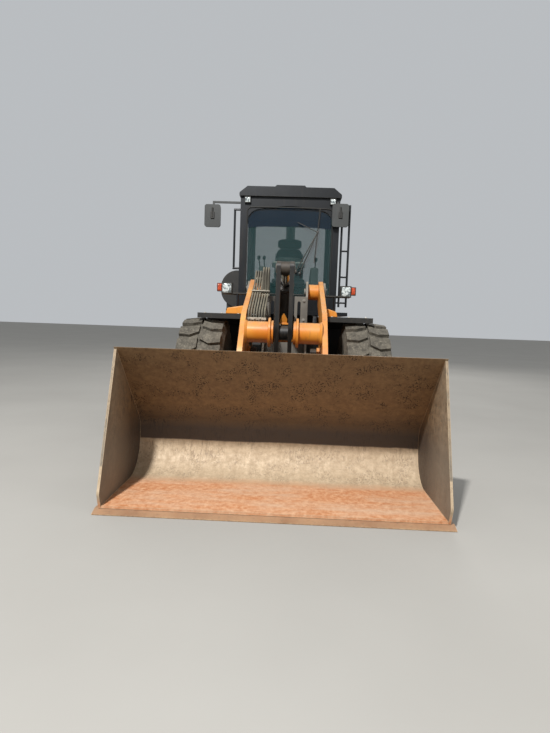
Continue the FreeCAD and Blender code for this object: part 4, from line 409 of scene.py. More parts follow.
def shade_sheet_corner(side, row, column):
    """Places one corner of a painted-shade sheet, which is narrow below the fender's skirt."""
    z = SHADE_SHEET_TOP - SHADE_SHEET_DROP * row / 14
    outer = 1.02 if z > 1.0 else 0.684
    return (side * (SHADE_SHEET_INNER + (outer - SHADE_SHEET_INNER) * column / 6),
            -0.345 + 0.004 * math.sin(row * 0.9) + 0.003 * math.sin(column * 1.7 + row), z)


for side, word in SIDES:
    shade_sheet = bmesh.new()
    sheet(shade_sheet, 14, 6, lambda row, column: shade_sheet_corner(side, row, column))
    bmesh.ops.solidify(shade_sheet, geom=shade_sheet.faces[:], thickness=0.008)
    settle("painted_shade_sheet_" + word, shade_sheet, black_plastic, "front_frame")

# Boom arms and cross tube: two plates 55 mm thick cut from steel and welded to a tube, all of
# it sprayed in orange machinery enamel that the sun has bleached and stones have chipped. A
# bolted cap covers each pin's end.
orange_enamel = enamel("orange_machinery_enamel", "cd761b", "e29838", gloss=0.36, dusty=0.45)
coat_solids(orange_enamel, "boom_arms", "boom_cross_tube")
LIFT_PIN = (-1.515, 1.12)
ARM_FACE = 0.462
for side, word in SIDES:
    caps = bmesh.new()
    for pin, radius in ((BOOM_PIVOT, 0.075), (LIFT_PIN, 0.055)):
        lathe(caps, (side * ARM_FACE, *pin), (side, 0, 0),
              [(0.001, 0), (radius, 0), (radius, 0.006), (radius * 0.86, 0.010), (0.001, 0.010)])
        bolt_ring(caps, side, ARM_FACE + 0.010, pin, radius * 0.6, 3, 90, 0.018)
    settle("boom_pin_caps_" + word, caps, zinc, "boom", 0.001)

# Cross tube flanges: rings welded to the tube's inner ends and fillets of weld at the arms,
# sprayed along with the boom.
TUBE = (-1.915, 1.358)
for side, word in SIDES:
    flange = bmesh.new()
    lathe(flange, (side * 0.132, *TUBE), (side, 0, 0), [(0.113, 0), (0.150, 0), (0.156, 0.004),
                                                        (0.156, 0.024), (0.150, 0.028),
                                                        (0.113, 0.028)], 64)
    lathe(flange, (side * 0.395, *TUBE), (side, 0, 0),
          [(0.112, -0.016), (0.118, -0.012), (0.130, 0.010), (0.131, 0.0118), (0.112, 0.0118)], 64)
    settle("cross_tube_flange_" + word, flange, orange_enamel, "boom")

# Crank and link: two cut plates and a cast bar in dark grey enamel, nearly black with grease.
# Each crank pin ends in a turned keeper, and a folded orange brace stands between the plates.
linkage_enamel = enamel("dark_grey_linkage_enamel", "0a0a09", "131211", dust="70665a", gloss=0.45,
                        dusty=0.35, chipped=0.8, grime=0.5)
coat_solids(linkage_enamel, "bellcrank", "crank_link")
CRANK_TOP = (-1.941, 2.03)
CRANK_FOOT = (-1.675, 0.631)
for name, (y, z), out, radius, body in (
        ("crank_top_keeper", CRANK_TOP, 0.094, 0.052, "bellcrank"),
        ("crank_foot_keeper", CRANK_FOOT, 0.094, 0.050, "bellcrank"),
        ("crank_hub_keeper", TUBE, 0.0925, 0.070, "bellcrank")):
    keeper = bmesh.new()
    for side in (1, -1):
        lathe(keeper, (side * out, y, z), (side, 0, 0),
              [(0.001, -0.001), (radius, -0.001), (radius + 0.002, 0.004), (radius * 0.9, 0.007),
               (radius * 0.45, 0.007), (radius * 0.4, 0.0095), (0.001, 0.0095)], 40)
    settle(name, keeper, pin_steel, body)


def slab(mesh, corner, opposite):
    """Adds a flat-sided block between two opposite corners."""
    corner, opposite = Vector(corner), Vector(opposite)
    made = bmesh.ops.create_cube(mesh, size=1)["verts"]
    bmesh.ops.scale(mesh, vec=[abs(length) for length in opposite - corner], verts=made)
    bmesh.ops.translate(mesh, vec=(corner + opposite) / 2, verts=made)
    return made


bracket = bmesh.new()
outline = [(-0.036, 1.462), (0.036, 1.462), (0.036, 1.505), (0.004, 1.560), (-0.004, 1.560),
           (-0.036, 1.505)]
for y in (-1.93, -1.90):
    for x, z in outline:
        bracket.verts.new((x, y - 0.35 * (z - 1.462), z))
bracket.verts.ensure_lookup_table()
count = len(outline)
bracket.faces.new(bracket.verts[:count])
bracket.faces.new(reversed(bracket.verts[count:]))
for at in range(count):
    after = (at + 1) % count
    bracket.faces.new((bracket.verts[at], bracket.verts[at + count], bracket.verts[after + count],
                       bracket.verts[after]))
bmesh.ops.recalc_face_normals(bracket, faces=bracket.faces)
slab(bracket, (-0.048, -1.94, 1.445), (0.048, -1.885, 1.464))
settle("crank_brace", bracket, orange_enamel, "bellcrank", 0.002)

# Cylinders: drawn steel barrels in the linkage's enamel. A threaded gland nut with six bolts
# closes each barrel's mouth, round the rod's wiper seal.
coat_solids(linkage_enamel, "tilt_barrel", "lift_barrels", "steer_barrel_left",
            "steer_barrel_right")


def gland(name, mouth, way, radius, body):
    """Sets a gland nut on the end of a barrel, pointing the way its rod comes out."""
    nut = bmesh.new()
    way = Vector(way).normalized()
    lathe(nut, mouth, way, [(radius * 0.60, 0.0), (radius * 1.0, 0.0), (radius * 1.06, 0.004),
                            (radius * 1.06, 0.030), (radius * 0.98, 0.036), (radius * 0.70, 0.036),
                            (radius * 0.64, 0.042), (radius * 0.60, 0.042)], 48)
    turn = way.to_track_quat("Z", "Y").to_matrix()
    for number in range(6):
        angle = math.radians(60 * number)
        at = Vector(mouth) + turn @ Vector((radius * 0.85 * math.cos(angle),
                                            radius * 0.85 * math.sin(angle), 0.036))
        bolt(nut, at, way, 0.014)
    settle(name, nut, linkage_enamel, body, 0.0008)


gland("tilt_gland", (0, -1.612, 1.875), (0, -0.905, 0.426), 0.090, "tilt_barrel")
for side, word in SIDES:
    gland("lift_gland_" + word, (side * 0.338, -1.304, 1.082), (0, -0.983, 0.183), 0.060,
          "lift_barrels")
    gland("steer_gland_" + word, (side * 0.3815, 0.477, 0.880), (0, -1, 0), 0.045,
          "steer_barrel_" + word)


# Cylinder rods: hard chrome over ground steel, mirror bright, that ends in a forged eye.
def rod_with_eye(name, node, eye, reach):
    """Hard chrome on the rod's run, and dark enamel within reach of its eye's middle, crusted
    in patches of 40 mm."""
    material = bare(name)
    spot = add(material, "TexCoord").outputs["Object"]
    near = add(material, "Mapping", {"Vector": spot, "Scale": (0, 1, 1)})
    away = add(material, "VectorMath", {0: near, 1: (0, eye[0], eye[1])}, operation="DISTANCE")
    forged = add(material, "Math", {0: away.outputs["Value"], 1: reach}, operation="LESS_THAN")
    dirt = add(material, "TexNoise", {"Vector": spot, "Scale": 24, "Detail": 7, "Roughness": 0.7})
    crust = add(material, "MixRGB", {"Fac": dirt, "Color1": "1d1a17", "Color2": "50463a"})
    tone = add(material, "MixRGB", {"Fac": forged, "Color1": "d2d2d0", "Color2": crust})
    rough = add(material, "MapRange", {"Value": forged, "To Min": 0.14, "To Max": 0.62})
    metal = add(material, "MapRange", {"Value": forged, "To Min": 1.0, "To Max": 0.1})
    pitted = add(material, "Bump", {"Height": dirt, "Strength": 0.15, "Distance": 0.003})
    shader = add(material, "BsdfPrincipled", {
        "Base Color": tone, "Roughness": rough, "Metallic": metal, "Normal": pitted})
    add(material, "OutputMaterial", {"Surface": shader})
    coat_solids(material, node)


rod_with_eye("chromed_tilt_rod", "tilt_rod", CRANK_TOP, 0.105)
rod_with_eye("chromed_lift_rods", "lift_rods", LIFT_PIN, 0.085)
for word in ("left", "right"):
    rod_with_eye("chromed_steer_rod_" + word, "steer_rod_" + word, (0.03, 0.88), 0.075)

# Bucket: rolled wear plate, scoured bare by gravel. The upper wall keeps a brown skin of rust
# with dark gouges, the heel is pale, partly scrubbed and partly painted sunlight up to the lip's
# shadow line, and the floor is orange rust that is rubbed to bare steel toward the lip.
wear_plate = bare("gravel_scoured_wear_plate")
place = add(wear_plate, "TexCoord")
spot = place.outputs["Object"]
axes = add(wear_plate, "SeparateXYZ", {"Vector": spot})
# Its rust wanders in patches about 300 mm across, and is mottled at 45 mm.
wander = add(wear_plate, "TexNoise", {
    "Vector": spot, "Scale": 3.2, "Detail": 6, "Roughness": 0.65})
shift = add(wear_plate, "MapRange", {"Value": wander, "To Min": -0.05, "To Max": 0.05})
ripple = add(wear_plate, "MapRange", {"Value": wander, "To Min": -0.012, "To Max": 0.012})
height = add(wear_plate, "Math", {0: axes.outputs["Z"], 1: ripple}, operation="ADD")
# Only faces inside the bowl take the heel and floor marks: those that look forward and up, about
# the way the key light comes in.
looks = add(wear_plate, "VectorMath", {
    0: place.outputs["Normal"], 1: (0, -0.6, 0.8)}, operation="DOT_PRODUCT")
inside = add(wear_plate, "Math", {0: looks.outputs["Value"], 1: 0.2}, operation="GREATER_THAN")
skin = add(wear_plate, "MixRGB", {"Fac": wander, "Color1": "59442e", "Color2": "7c6142"})
mottle = add(wear_plate, "TexNoise", {"Vector": spot, "Scale": 22, "Detail": 8, "Roughness": 0.75})
mottled = add(wear_plate, "MapRange", {
    "Value": mottle, "From Min": 0.4, "From Max": 0.62, "To Max": 0.75})
brown = add(wear_plate, "MixRGB", {"Fac": mottled, "Color1": skin, "Color2": "8d7250"})
# Gouges about 8 mm wide and up to 120 mm long, bent and in three directions. Real ones are 2 mm
# wide, and would not show.
gouged = []
bent = add(wear_plate, "TexNoise", {"Vector": spot, "Scale": 5, "Detail": 2})
curved = add(wear_plate, "VectorMath", {
    0: bent.outputs["Color"], 1: (0.09, 0.09, 0.09)}, operation="MULTIPLY")
swept = add(wear_plate, "VectorMath", {0: spot, 1: curved}, operation="ADD")
for turn, scale in ((0.6, (75, 75, 4)), (-0.8, (85, 85, 5)), (1.35, (80, 80, 4))):
    way = add(wear_plate, "Mapping", {
        "Vector": swept, "Rotation": (0.2, turn, 0.1), "Scale": scale})
    scratch = add(wear_plate, "TexNoise", {"Vector": way, "Scale": 1, "Detail": 2})
    gouged.append(add(wear_plate, "MapRange", {
        "Value": scratch, "From Min": 0.60, "From Max": 0.64}))
two_ways = add(wear_plate, "Math", {0: gouged[0], 1: gouged[1]}, operation="MAXIMUM")
gouge = add(wear_plate, "Math", {0: two_ways, 1: gouged[2]}, operation="MAXIMUM")
struck = add(wear_plate, "TexNoise", {"Vector": spot, "Scale": 6.5, "Detail": 5, "Roughness": 0.6})
broken = add(wear_plate, "MapRange", {
    "Value": struck, "From Min": 0.46, "From Max": 0.58, "To Max": 0.9})
dark_mark = add(wear_plate, "Math", {0: gouge, 1: broken}, operation="MULTIPLY")
wall = add(wear_plate, "MixRGB", {"Fac": dark_mark, "Color1": brown, "Color2": "211810"})
# Low on the back wall the rust gives way to greyer metal.
low_band = add(wear_plate, "MapRange", {
    "Value": height, "From Min": 0.72, "From Max": 0.46, "To Max": 0.9})
greyed = add(wear_plate, "MixRGB", {"Fac": low_band, "Color1": wall, "Color2": "4c423a"})
# The side plates are dusted grey toward their front edge.
ahead = add(wear_plate, "MapRange", {
    "Value": axes.outputs["Y"], "From Min": -2.9, "From Max": -3.35, "To Max": 0.7})
beside = add(wear_plate, "Math", {0: axes.outputs["X"]}, operation="ABSOLUTE")
on_side = add(wear_plate, "Math", {0: beside, 1: 1.297}, operation="GREATER_THAN")
blown = add(wear_plate, "Math", {0: ahead, 1: on_side}, operation="MULTIPLY")
blotched = add(wear_plate, "Math", {0: blown, 1: mottle}, operation="MULTIPLY")
sided = add(wear_plate, "MixRGB", {"Fac": blotched, "Color1": greyed, "Color2": "b3a793"})
# Heel: pale sandy metal streaked up and down the curve, partly scrubbed wear and partly painted
# sunlight.
drawn = add(wear_plate, "Mapping", {"Vector": spot, "Scale": (26, 3, 3)})
streak = add(wear_plate, "TexNoise", {"Vector": drawn, "Scale": 1, "Detail": 5})
heel = add(wear_plate, "MixRGB", {"Fac": streak, "Color1": "a48e72", "Color2": "d2bd9f"})
sandy = add(wear_plate, "MixRGB", {"Fac": mottled, "Color1": heel, "Color2": "a08b70"})
pocked = add(wear_plate, "MixRGB", {"Fac": dark_mark, "Color1": sandy, "Color2": "94816a"})
# Painted light: the pale heel stops in a straight edge at 0.34 to 0.35 m, just under where the
# lip's cast shadow falls on the back wall.
below_lip_shadow_line = add(wear_plate, "MapRange", {"Value": height, "From Min": 0.352, "From Max": 0.340})
heel_here = add(wear_plate, "Math", {0: below_lip_shadow_line, 1: inside}, operation="MULTIPLY")
upper = add(wear_plate, "MixRGB", {"Fac": heel_here, "Color1": sided, "Color2": pocked})
# Floor: from the foot of the heel forward, damp orange rust.
rusty = add(wear_plate, "MixRGB", {"Fac": mottled, "Color1": "b9774b", "Color2": "deb089"})
# Toward the lip the rust is rubbed to pinkish bare metal, in bands drawn across the bucket.
banded = add(wear_plate, "Mapping", {"Vector": spot, "Scale": (1.1, 5, 3)})
across = add(wear_plate, "TexNoise", {
    "Vector": banded, "Scale": 1, "Detail": 9, "Roughness": 0.72})
rubbed = add(wear_plate, "MapRange", {
    "Value": across, "From Min": 0.44, "From Max": 0.66, "To Max": 0.7})
floor_tone = add(wear_plate, "MixRGB", {"Fac": rubbed, "Color1": rusty, "Color2": "cdb094"})
floor_line = add(wear_plate, "Math", {0: axes.outputs["Y"], 1: shift}, operation="ADD")
floor_here = add(wear_plate, "MapRange", {
    "Value": floor_line, "From Min": -2.86, "From Max": -3.02})
low_here = add(wear_plate, "MapRange", {
    "Value": axes.outputs["Z"], "From Min": 0.12, "From Max": 0.07})
on_floor = add(wear_plate, "Math", {0: floor_here, 1: low_here}, operation="MULTIPLY")
rust_here = add(wear_plate, "Math", {0: on_floor, 1: inside}, operation="MULTIPLY")
plate_tone = add(wear_plate, "MixRGB", {"Fac": rust_here, "Color1": upper, "Color2": floor_tone})
# Every edge is rubbed bright, 10 mm wide.
edge = rubbed_edge(wear_plate, 0.010, 0.985, 0.82, 0.8)
bright = add(wear_plate, "MixRGB", {"Fac": edge, "Color1": plate_tone, "Color2": "b9a283"})
rough = add(wear_plate, "MapRange", {
    "Value": mottle, "From Min": 0.3, "From Max": 0.7, "To Min": 0.5, "To Max": 0.78})
metal = add(wear_plate, "MapRange", {"Value": heel_here, "To Min": 0.2, "To Max": 0.08})
dent = add(wear_plate, "TexNoise", {"Vector": spot, "Scale": 7, "Detail": 3})
pitted = add(wear_plate, "Bump", {"Height": dent, "Strength": 0.2, "Distance": 0.02})
scored = add(wear_plate, "Bump", {
    "Height": dark_mark, "Strength": 0.5, "Distance": 0.002, "Normal": pitted}, invert=True)
grained = add(wear_plate, "Bump", {
    "Height": mottle, "Strength": 0.2, "Distance": 0.003, "Normal": scored})
shade = add(wear_plate, "BsdfPrincipled", {
    "Base Color": bright, "Roughness": rough, "Metallic": metal, "Normal": grained})
add(wear_plate, "OutputMaterial", {"Surface": shade})
coat_solids(wear_plate, "bucket_shell")

# Wear strips: four flat bars of the same plate, welded under the bucket's floor to take the
# scraping.
STRIP_CENTRES = (-0.98, -0.33, 0.33, 0.98)
strip = bmesh.new()
for x in STRIP_CENTRES:
    slab(strip, (x - 0.05, -3.36, 0.0005), (x + 0.05, -2.95, 0.0055))
settle("bucket_wear_strips", strip, wear_plate, "bucket", 0.002)

# Cutting edge: a flat bar of hard steel, welded and plough-bolted under the floor's lip. It is
# tan with rust except where gravel keeps its corners bright.
edge_bar = enamel("rusted_cutting_edge_steel", "7f5a40", "a07a5a", dust="9a7f63", dusty=0.35,
                  chipped=1.0, metal="cbb38d", grime=0.5)
coat_solids(edge_bar, "cutting_edge")
SEAM_END = 1.318
SEAM_Y = -3.4355
weld = bmesh.new()
random.seed(4)
x = -SEAM_END
while x < SEAM_END:
    size = 0.0075 + random.uniform(-0.001, 0.0012)
    turned_bar(weld, (x, SEAM_Y + random.uniform(-0.002, 0.002), 0.0285),
               (x + 0.014, SEAM_Y, 0.0285), size, 8, size * 0.6)
    x += 0.012
settle("edge_weld", weld, edge_bar, "bucket")
heads = bmesh.new()
for number in range(11):
    x = -1.2 + 0.24 * number
    lathe(heads, (x, -3.52, 0.0295), (0, 0, 1),
          [(0.001, -0.001), (0.019, -0.001), (0.017, 0.004), (0.009, 0.0055), (0.001, 0.0055)], 20)
settle("edge_plough_bolts", heads, edge_bar, "bucket")

# Hydraulic hoses on the boom: rubber over braided wire, so caked in dust that they look khaki
# grey. Bolted clamp bars hold each row, and a crimped ferrule ends each hose at its port.
hose_rubber = enamel("dusty_hydraulic_hose_rubber", "35332e", "545044", dust="8f8672", gloss=0.7,
                     dusty=0.6, chipped=0.0, grime=0.3)
coat_solids(hose_rubber, "boom_hoses")
OUTER_HOSES = (-0.388, -0.359, -0.330, -0.301)
INNER_HOSES = (-0.272, -0.243, -0.214)
CLAMP_BOLTS = (-0.3735, -0.3155, -0.2575)
clamps = bmesh.new()
slab(clamps, (-0.406, -1.250, 1.824), (-0.192, -1.214, 1.834))
slab(clamps, (-0.406, -1.250, 1.778), (-0.192, -1.214, 1.786))
slab(clamps, (-0.406, -1.792, 1.486), (-0.196, -1.780, 1.512))
slab(clamps, (-0.406, -1.748, 1.486), (-0.196, -1.738, 1.512))
for x in CLAMP_BOLTS:
    bolt(clamps, (x, -1.232, 1.834), (0, 0, 1), 0.014)
    bolt(clamps, (x, -1.792, 1.499), (0, -1, 0), 0.014)
settle("hose_clamps", clamps, fitting, "boom", 0.001)
ferrules = bmesh.new()
for x in OUTER_HOSES + INNER_HOSES:
    lathe(ferrules, (x, -1.764, 1.452), (0, 0, 1),
          [(0.0105, 0), (0.016, 0), (0.016, 0.010), (0.0145, 0.012), (0.0145, 0.030),
           (0.0105, 0.032)], 20)
for x in OUTER_HOSES:
    lathe(ferrules, (x, -0.6765, 2.003), (0, 0, 1),
          [(0.0105, 0), (0.015, 0), (0.015, 0.008), (0.0135, 0.010), (0.0135, 0.026),
           (0.0105, 0.028)], 20)
settle("hose_ferrules", ferrules, fitting, "boom")

# Cab frame, door and roof: folded steel in black enamel, with a slight blue gloss and little
# dust. The roof's raised middle is a grey moulding that the sun has made matt, and a rubber drip
# rail runs round its lower edge.
black_enamel = enamel("black_cab_enamel", "06090d", "0c1117", dust="5a5751", gloss=0.34,
                      dusty=0.22, chipped=0.35, metal="4d4b48", grime=0.2)
coat_solids(black_enamel, "cab_frame", "cab_roof", "cab_door", "cab_floor")
cap_grey = enamel("sun_greyed_roof_moulding", "6a6b6b", "7f807d", dust="a39c8d", gloss=0.55,
                  chipped=0.0, grime=0.15)
cap = bmesh.new()
made = slab(cap, (-0.212, -0.1145, 3.315), (0.212, 1.4545, 3.3395))
for vert in made:
    if vert.co.z > 3.33:
        vert.co.x *= 0.93
settle("roof_middle_moulding", cap, cap_grey, "rear_frame", 0.006)
rail = bmesh.new()
for low, high in (((-0.7055, -0.1145, 3.186), (0.7055, -0.106, 3.200)),
                  ((-0.7055, 1.446, 3.186), (0.7055, 1.4545, 3.200)),
                  ((-0.7055, -0.1145, 3.186), (-0.698, 1.4545, 3.200)),
                  ((0.698, -0.1145, 3.186), (0.7055, 1.4545, 3.200))):
    slab(rail, low, high)
settle("roof_drip_rail", rail, black_plastic, "rear_frame", 0.002)

# Cab glass: toughened sheet with a green-grey tint, clean enough to see through, glued in behind
# its rubber seals.
cab_glass = bare("green_tinted_toughened_glass")
shade = add(cab_glass, "BsdfPrincipled", {
    "Base Color": "2f4a4a", "Roughness": 0.03, "Alpha": 0.3, "IOR": 1.5, "Coat Weight": 0.3,
    "Coat Roughness": 0.02})
add(cab_glass, "OutputMaterial", {"Surface": shade})
coat_solids(cab_glass, "cab_glass", "door_glass")

# Window seals: black rubber extruded to a round section and pressed in round each pane. It is
# matt, and stands out of the frame by 4 mm.
seal_rubber = enamel("extruded_window_seal_rubber", "121212", "1d1d1c", dust="77705f", gloss=0.6,
                     dusty=0.2, chipped=0.0)


def seal(name, corners, body, thick=0.009):
    """Runs a round rubber section through a closed loop of corners."""
    line = bpy.data.curves.new(name, "CURVE")
    line.dimensions = "3D"
    line.bevel_depth = thick
    line.bevel_resolution = 3
    run = line.splines.new("NURBS")
    run.points.add(len(corners) - 1)
    for point, corner in zip(run.points, corners):
        point.co = (*corner, 1)
    run.order_u = 3
    run.use_cyclic_u = True
    line.materials.append(seal_rubber)
    loop = bpy.data.objects.new(name, line)
    scene.collection.objects.link(loop)
    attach(loop, body)


def loop_points(u0, u1, v0, v1, round_by, place):
    """Lists a rounded rectangle's control points, set in space by place(u, v)."""
    points = []
    for u, v, du, dv in ((u0, v0, 1, 1), (u1, v0, -1, 1), (u1, v1, -1, -1), (u0, v1, 1, -1)):
        pair = [(u, v + dv * round_by), (u, v), (u + du * round_by, v)]
        points += pair if (du, dv) in ((1, 1), (-1, -1)) else pair[::-1]
    return [place(u, v) for u, v in points]


seal("windshield_seal", loop_points(-0.592, 0.592, 1.835, 3.03, 0.10,
                                    lambda u, v: (u, -0.078, v + 0.05 * (1 - (u / 0.592) ** 2))),
     "rear_frame")
seal("rear_window_seal", loop_points(-0.592, 0.592, 2.113, 3.057, 0.10,
                                     lambda u, v: (u, 1.428, v)), "rear_frame")
seal("right_window_seal", loop_points(0.053, 1.327, 1.963, 3.057, 0.10,
                                      lambda u, v: (-0.693, u, v)), "rear_frame")
seal("door_window_seal", loop_points(0.125, 0.865, 1.760, 3.030, 0.08,
                                     lambda u, v: (0.693, u, v)), "cab_door")

# Tint band: a dark strip of glass enamel, fired onto the top of the windshield and arched
# like the frame; its blue cast is a painted reflection of sky. It is smooth and nearly hides what
# is behind it.
band_glass = bare("fired_dark_tint_band")
# The blue in this colour is painted sky reflection.
shade = add(band_glass, "BsdfPrincipled", {
    "Base Color": "0a1d2c", "Roughness": 0.05, "Alpha": 0.72, "Coat Weight": 0.3,
    "Coat Roughness": 0.03})
add(band_glass, "OutputMaterial", {"Surface": shade})
glass_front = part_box("cab_glass")[0].y


def band_corner(row, column):
    """Places one corner of the tint band, 1.2 mm in front of the glass."""
    u = -1 + column / 12
    arch = 1 - u * u
    bottom, top = 2.765 + 0.03 * arch, 2.985 + 0.085 * arch
    return (0.583 * u * (1 - 0.02 * row / 4), glass_front - 0.0012,
            bottom + (top - bottom) * row / 4)


band = bmesh.new()
sheet(band, 4, 24, band_corner)
settle("windshield_tint_band", band, band_glass, "rear_frame")

# Wiper: two pressed-steel arms that meet in a V, with a long rubber blade and a link bar, all in
# satin black that has begun to brown.
wiper_black = enamel("satin_black_wiper_steel", "222222", "3b3934", dust="9a8f7a", gloss=0.4,
                     dusty=0.3, chipped=0.2)
wiper = bmesh.new()
WIPER_Y = -0.088
V_JOINT = (0.393, WIPER_Y - 0.012, 2.717)
for foot in ((0.110, WIPER_Y, 2.175), (0.165, WIPER_Y, 2.150)):
    turned_bar(wiper, foot, V_JOINT, 0.008, 12, 0.006)
turned_bar(wiper, (0.111, WIPER_Y - 0.002, 2.846), V_JOINT, 0.006, 12)
turned_bar(wiper, (0.418, WIPER_Y + 0.004, 3.050), (0.362, WIPER_Y + 0.004, 2.300), 0.007, 10)
turned_bar(wiper, (0.415, WIPER_Y - 0.006, 2.990), (0.366, WIPER_Y - 0.006, 2.360), 0.005, 10)
lathe(wiper, (0.393, WIPER_Y - 0.010, 2.717), (0, -1, 0),
      [(0.001, -0.012), (0.016, -0.012), (0.016, 0.004), (0.010, 0.008), (0.001, 0.008)], 20)
for x, z in ((0.110, 2.175), (0.165, 2.150)):
    lathe(wiper, (x, WIPER_Y, z), (0, -1, 0),
          [(0.001, -0.034), (0.017, -0.034), (0.017, 0.008), (0.010, 0.012), (0.001, 0.012)], 20)
settle("windshield_wiper", wiper, wiper_black, "rear_frame")

# Mirrors: grey moulded shells, bleached by the sun, each with a ribbed clamp. Flat silvered
# glass with a few smears, 80 mm across, faces the rear.
mirror_shell = enamel("weathered_mirror_shell_plastic", "2b2d2e", "3c3e3d", dust="8a8577",
                      dusty=0.4, chipped=0.1, grime=0.2)
coat_solids(mirror_shell, "mirrors")
mirror_glass = bare("silvered_mirror_glass")
spot = add(mirror_glass, "TexCoord").outputs["Object"]
smear = add(mirror_glass, "TexNoise", {"Vector": spot, "Scale": 12, "Detail": 3})
wiped = add(mirror_glass, "MapRange", {
    "Value": smear, "From Min": 0.4, "From Max": 0.8, "To Min": 0.03, "To Max": 0.2})
shade = add(mirror_glass, "BsdfPrincipled", {
    "Base Color": "dfe4e4", "Metallic": 1.0, "Roughness": wiped})
add(mirror_glass, "OutputMaterial", {"Surface": shade})
for word, spans, z0, z1 in (("left", (0.595, 0.790), 2.805, 3.085),
                            ("right", (-1.180, -0.985), 2.775, 3.055)):
    near_y = max(v.co.y for v in solids["mirrors"].data.vertices
                 if spans[0] < v.co.x < spans[1] + 0.02 and z0 - 0.02 < v.co.z < z1 + 0.01)
    face = bmesh.new()
    ring_of = [(spans[0], z0), (spans[1], z0), (spans[1], z1), (spans[0], z1)]
    made = [face.verts.new((x, near_y + 0.0012, z)) for x, z in ring_of]
    face.faces.new(reversed(made))
    bmesh.ops.bevel(face, geom=face.verts[:], offset=0.03, segments=5, affect="VERTICES")
    settle("mirror_glass_" + word, face, mirror_glass, "rear_frame")
    front_y = min(v.co.y for v in solids["mirrors"].data.vertices
                  if spans[0] < v.co.x < spans[1] + 0.02 and z0 - 0.02 < v.co.z < z1 - 0.05)
    clamp = bmesh.new()
    middle = (spans[0] + spans[1]) / 2
    slab(clamp, (middle - 0.026, front_y - 0.016, z0 + 0.10), (middle + 0.026, front_y, z0 + 0.19))
    turned_bar(clamp, (middle, front_y - 0.010, z0 + 0.12), (middle, front_y - 0.010, z0 + 0.25),
               0.011, 16)
    settle("mirror_clamp_" + word, clamp, black_plastic, "rear_frame", 0.003)

# Seat: moulded-foam cushion, backrest and headrest in black woven cloth, which looks soft and
# matt, piped at the edges, on a suspension base hidden by a rubber bellows.
# Real threads lie 1 mm apart and would not show, so the weave is drawn at 5 mm. Lint lies on it
# in patches of 40 mm.
seat_cloth = bare("black_woven_seat_cloth")
spot = add(seat_cloth, "TexCoord").outputs["Object"]
warp = add(seat_cloth, "TexWave", {
    "Vector": spot, "Scale": 60, "Distortion": 0.4}, bands_direction="X")
weft = add(seat_cloth, "TexWave", {
    "Vector": spot, "Scale": 60, "Distortion": 0.4}, bands_direction="Z")
weave = add(seat_cloth, "Math", {
    0: warp.outputs["Fac"], 1: weft.outputs["Fac"]}, operation="MULTIPLY")
lint = add(seat_cloth, "TexNoise", {"Vector": spot, "Scale": 25, "Detail": 6})
tone = add(seat_cloth, "MixRGB", {"Fac": lint, "Color1": "131517", "Color2": "2e3133"})
thread = add(seat_cloth, "Bump", {"Height": weave, "Strength": 0.4, "Distance": 0.002})
shade = add(seat_cloth, "BsdfPrincipled", {
    "Base Color": tone, "Roughness": 0.9, "Sheen Weight": 0.3, "Normal": thread})
add(seat_cloth, "OutputMaterial", {"Surface": shade})


def cushion(name, low, high, crown):
    """Sews a closed pad whose faces crown outward and whose sides pull in between corners."""
    low, high = Vector(low), Vector(high)
    middle, half = (low + high) / 2, (high - low) / 2
    pad = bmesh.new()
    bmesh.ops.create_cube(pad, size=2)
    bmesh.ops.subdivide_edges(pad, edges=pad.edges[:], cuts=11, use_grid_fill=True)
    for vert in pad.verts:
        u = vert.co.copy()
        bulge = [(1 - u[(axis + 1) % 3] ** 4) * (1 - u[(axis + 2) % 3] ** 4) for axis in range(3)]
        for axis in range(3):
            inner = half[axis] - crown
            reach = inner * u[axis] + crown * u[axis] * (0.35 + 0.65 * bulge[axis])
            vert.co[axis] = reach
        worn = 1 - 0.05 * (abs(u.x) ** 8 * abs(u.z) ** 8)
        vert.co = middle + vert.co * worn
    made = settle(name, pad, seat_cloth, "rear_frame")
    fine = made.modifiers.new("sewn", "SUBSURF")
    fine.levels = 1
    fine.render_levels = 1
    return made


base = bmesh.new()
for number in range(7):
    z = 1.70 + 0.045 * number
    spread = 0.16 if number % 2 else 0.14
    slab(base, (-spread, 0.575 + 0.17 - spread, z), (spread, 0.735 + spread, z + 0.0445))
slab(base, (-0.168, 0.570, 1.626), (0.168, 0.900, 1.70))
seat_base = settle("seat_bellows", base, black_plastic, "rear_frame", 0.010)
seat_pad = cushion("seat_cushion", (-0.255, 0.470, 2.015), (0.255, 0.925, 2.130), 0.020)
seat_back = cushion("seat_backrest", (-0.235, 0.925, 2.060), (0.235, 1.070, 2.635), 0.028)
for vert in seat_back.data.vertices:
    rise = (vert.co.z - 2.060) / 0.575
    vert.co.y += 0.030 * rise
    vert.co.x *= 1.0 - 0.16 * rise ** 3
seat_head = cushion("seat_headrest", (-0.190, 1.000, 2.628), (0.190, 1.100, 2.790), 0.026)
for piece in (seat_base, seat_pad, seat_back, seat_head):
    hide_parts("seat")
piping = bmesh.new()
turned_bar(piping, (-0.215, 0.905, 2.075), (-0.215, 0.975, 2.55), 0.006, 10)
turned_bar(piping, (0.215, 0.905, 2.075), (0.215, 0.975, 2.55), 0.006, 10)
settle("seat_piping", piping, black_plastic, "rear_frame")

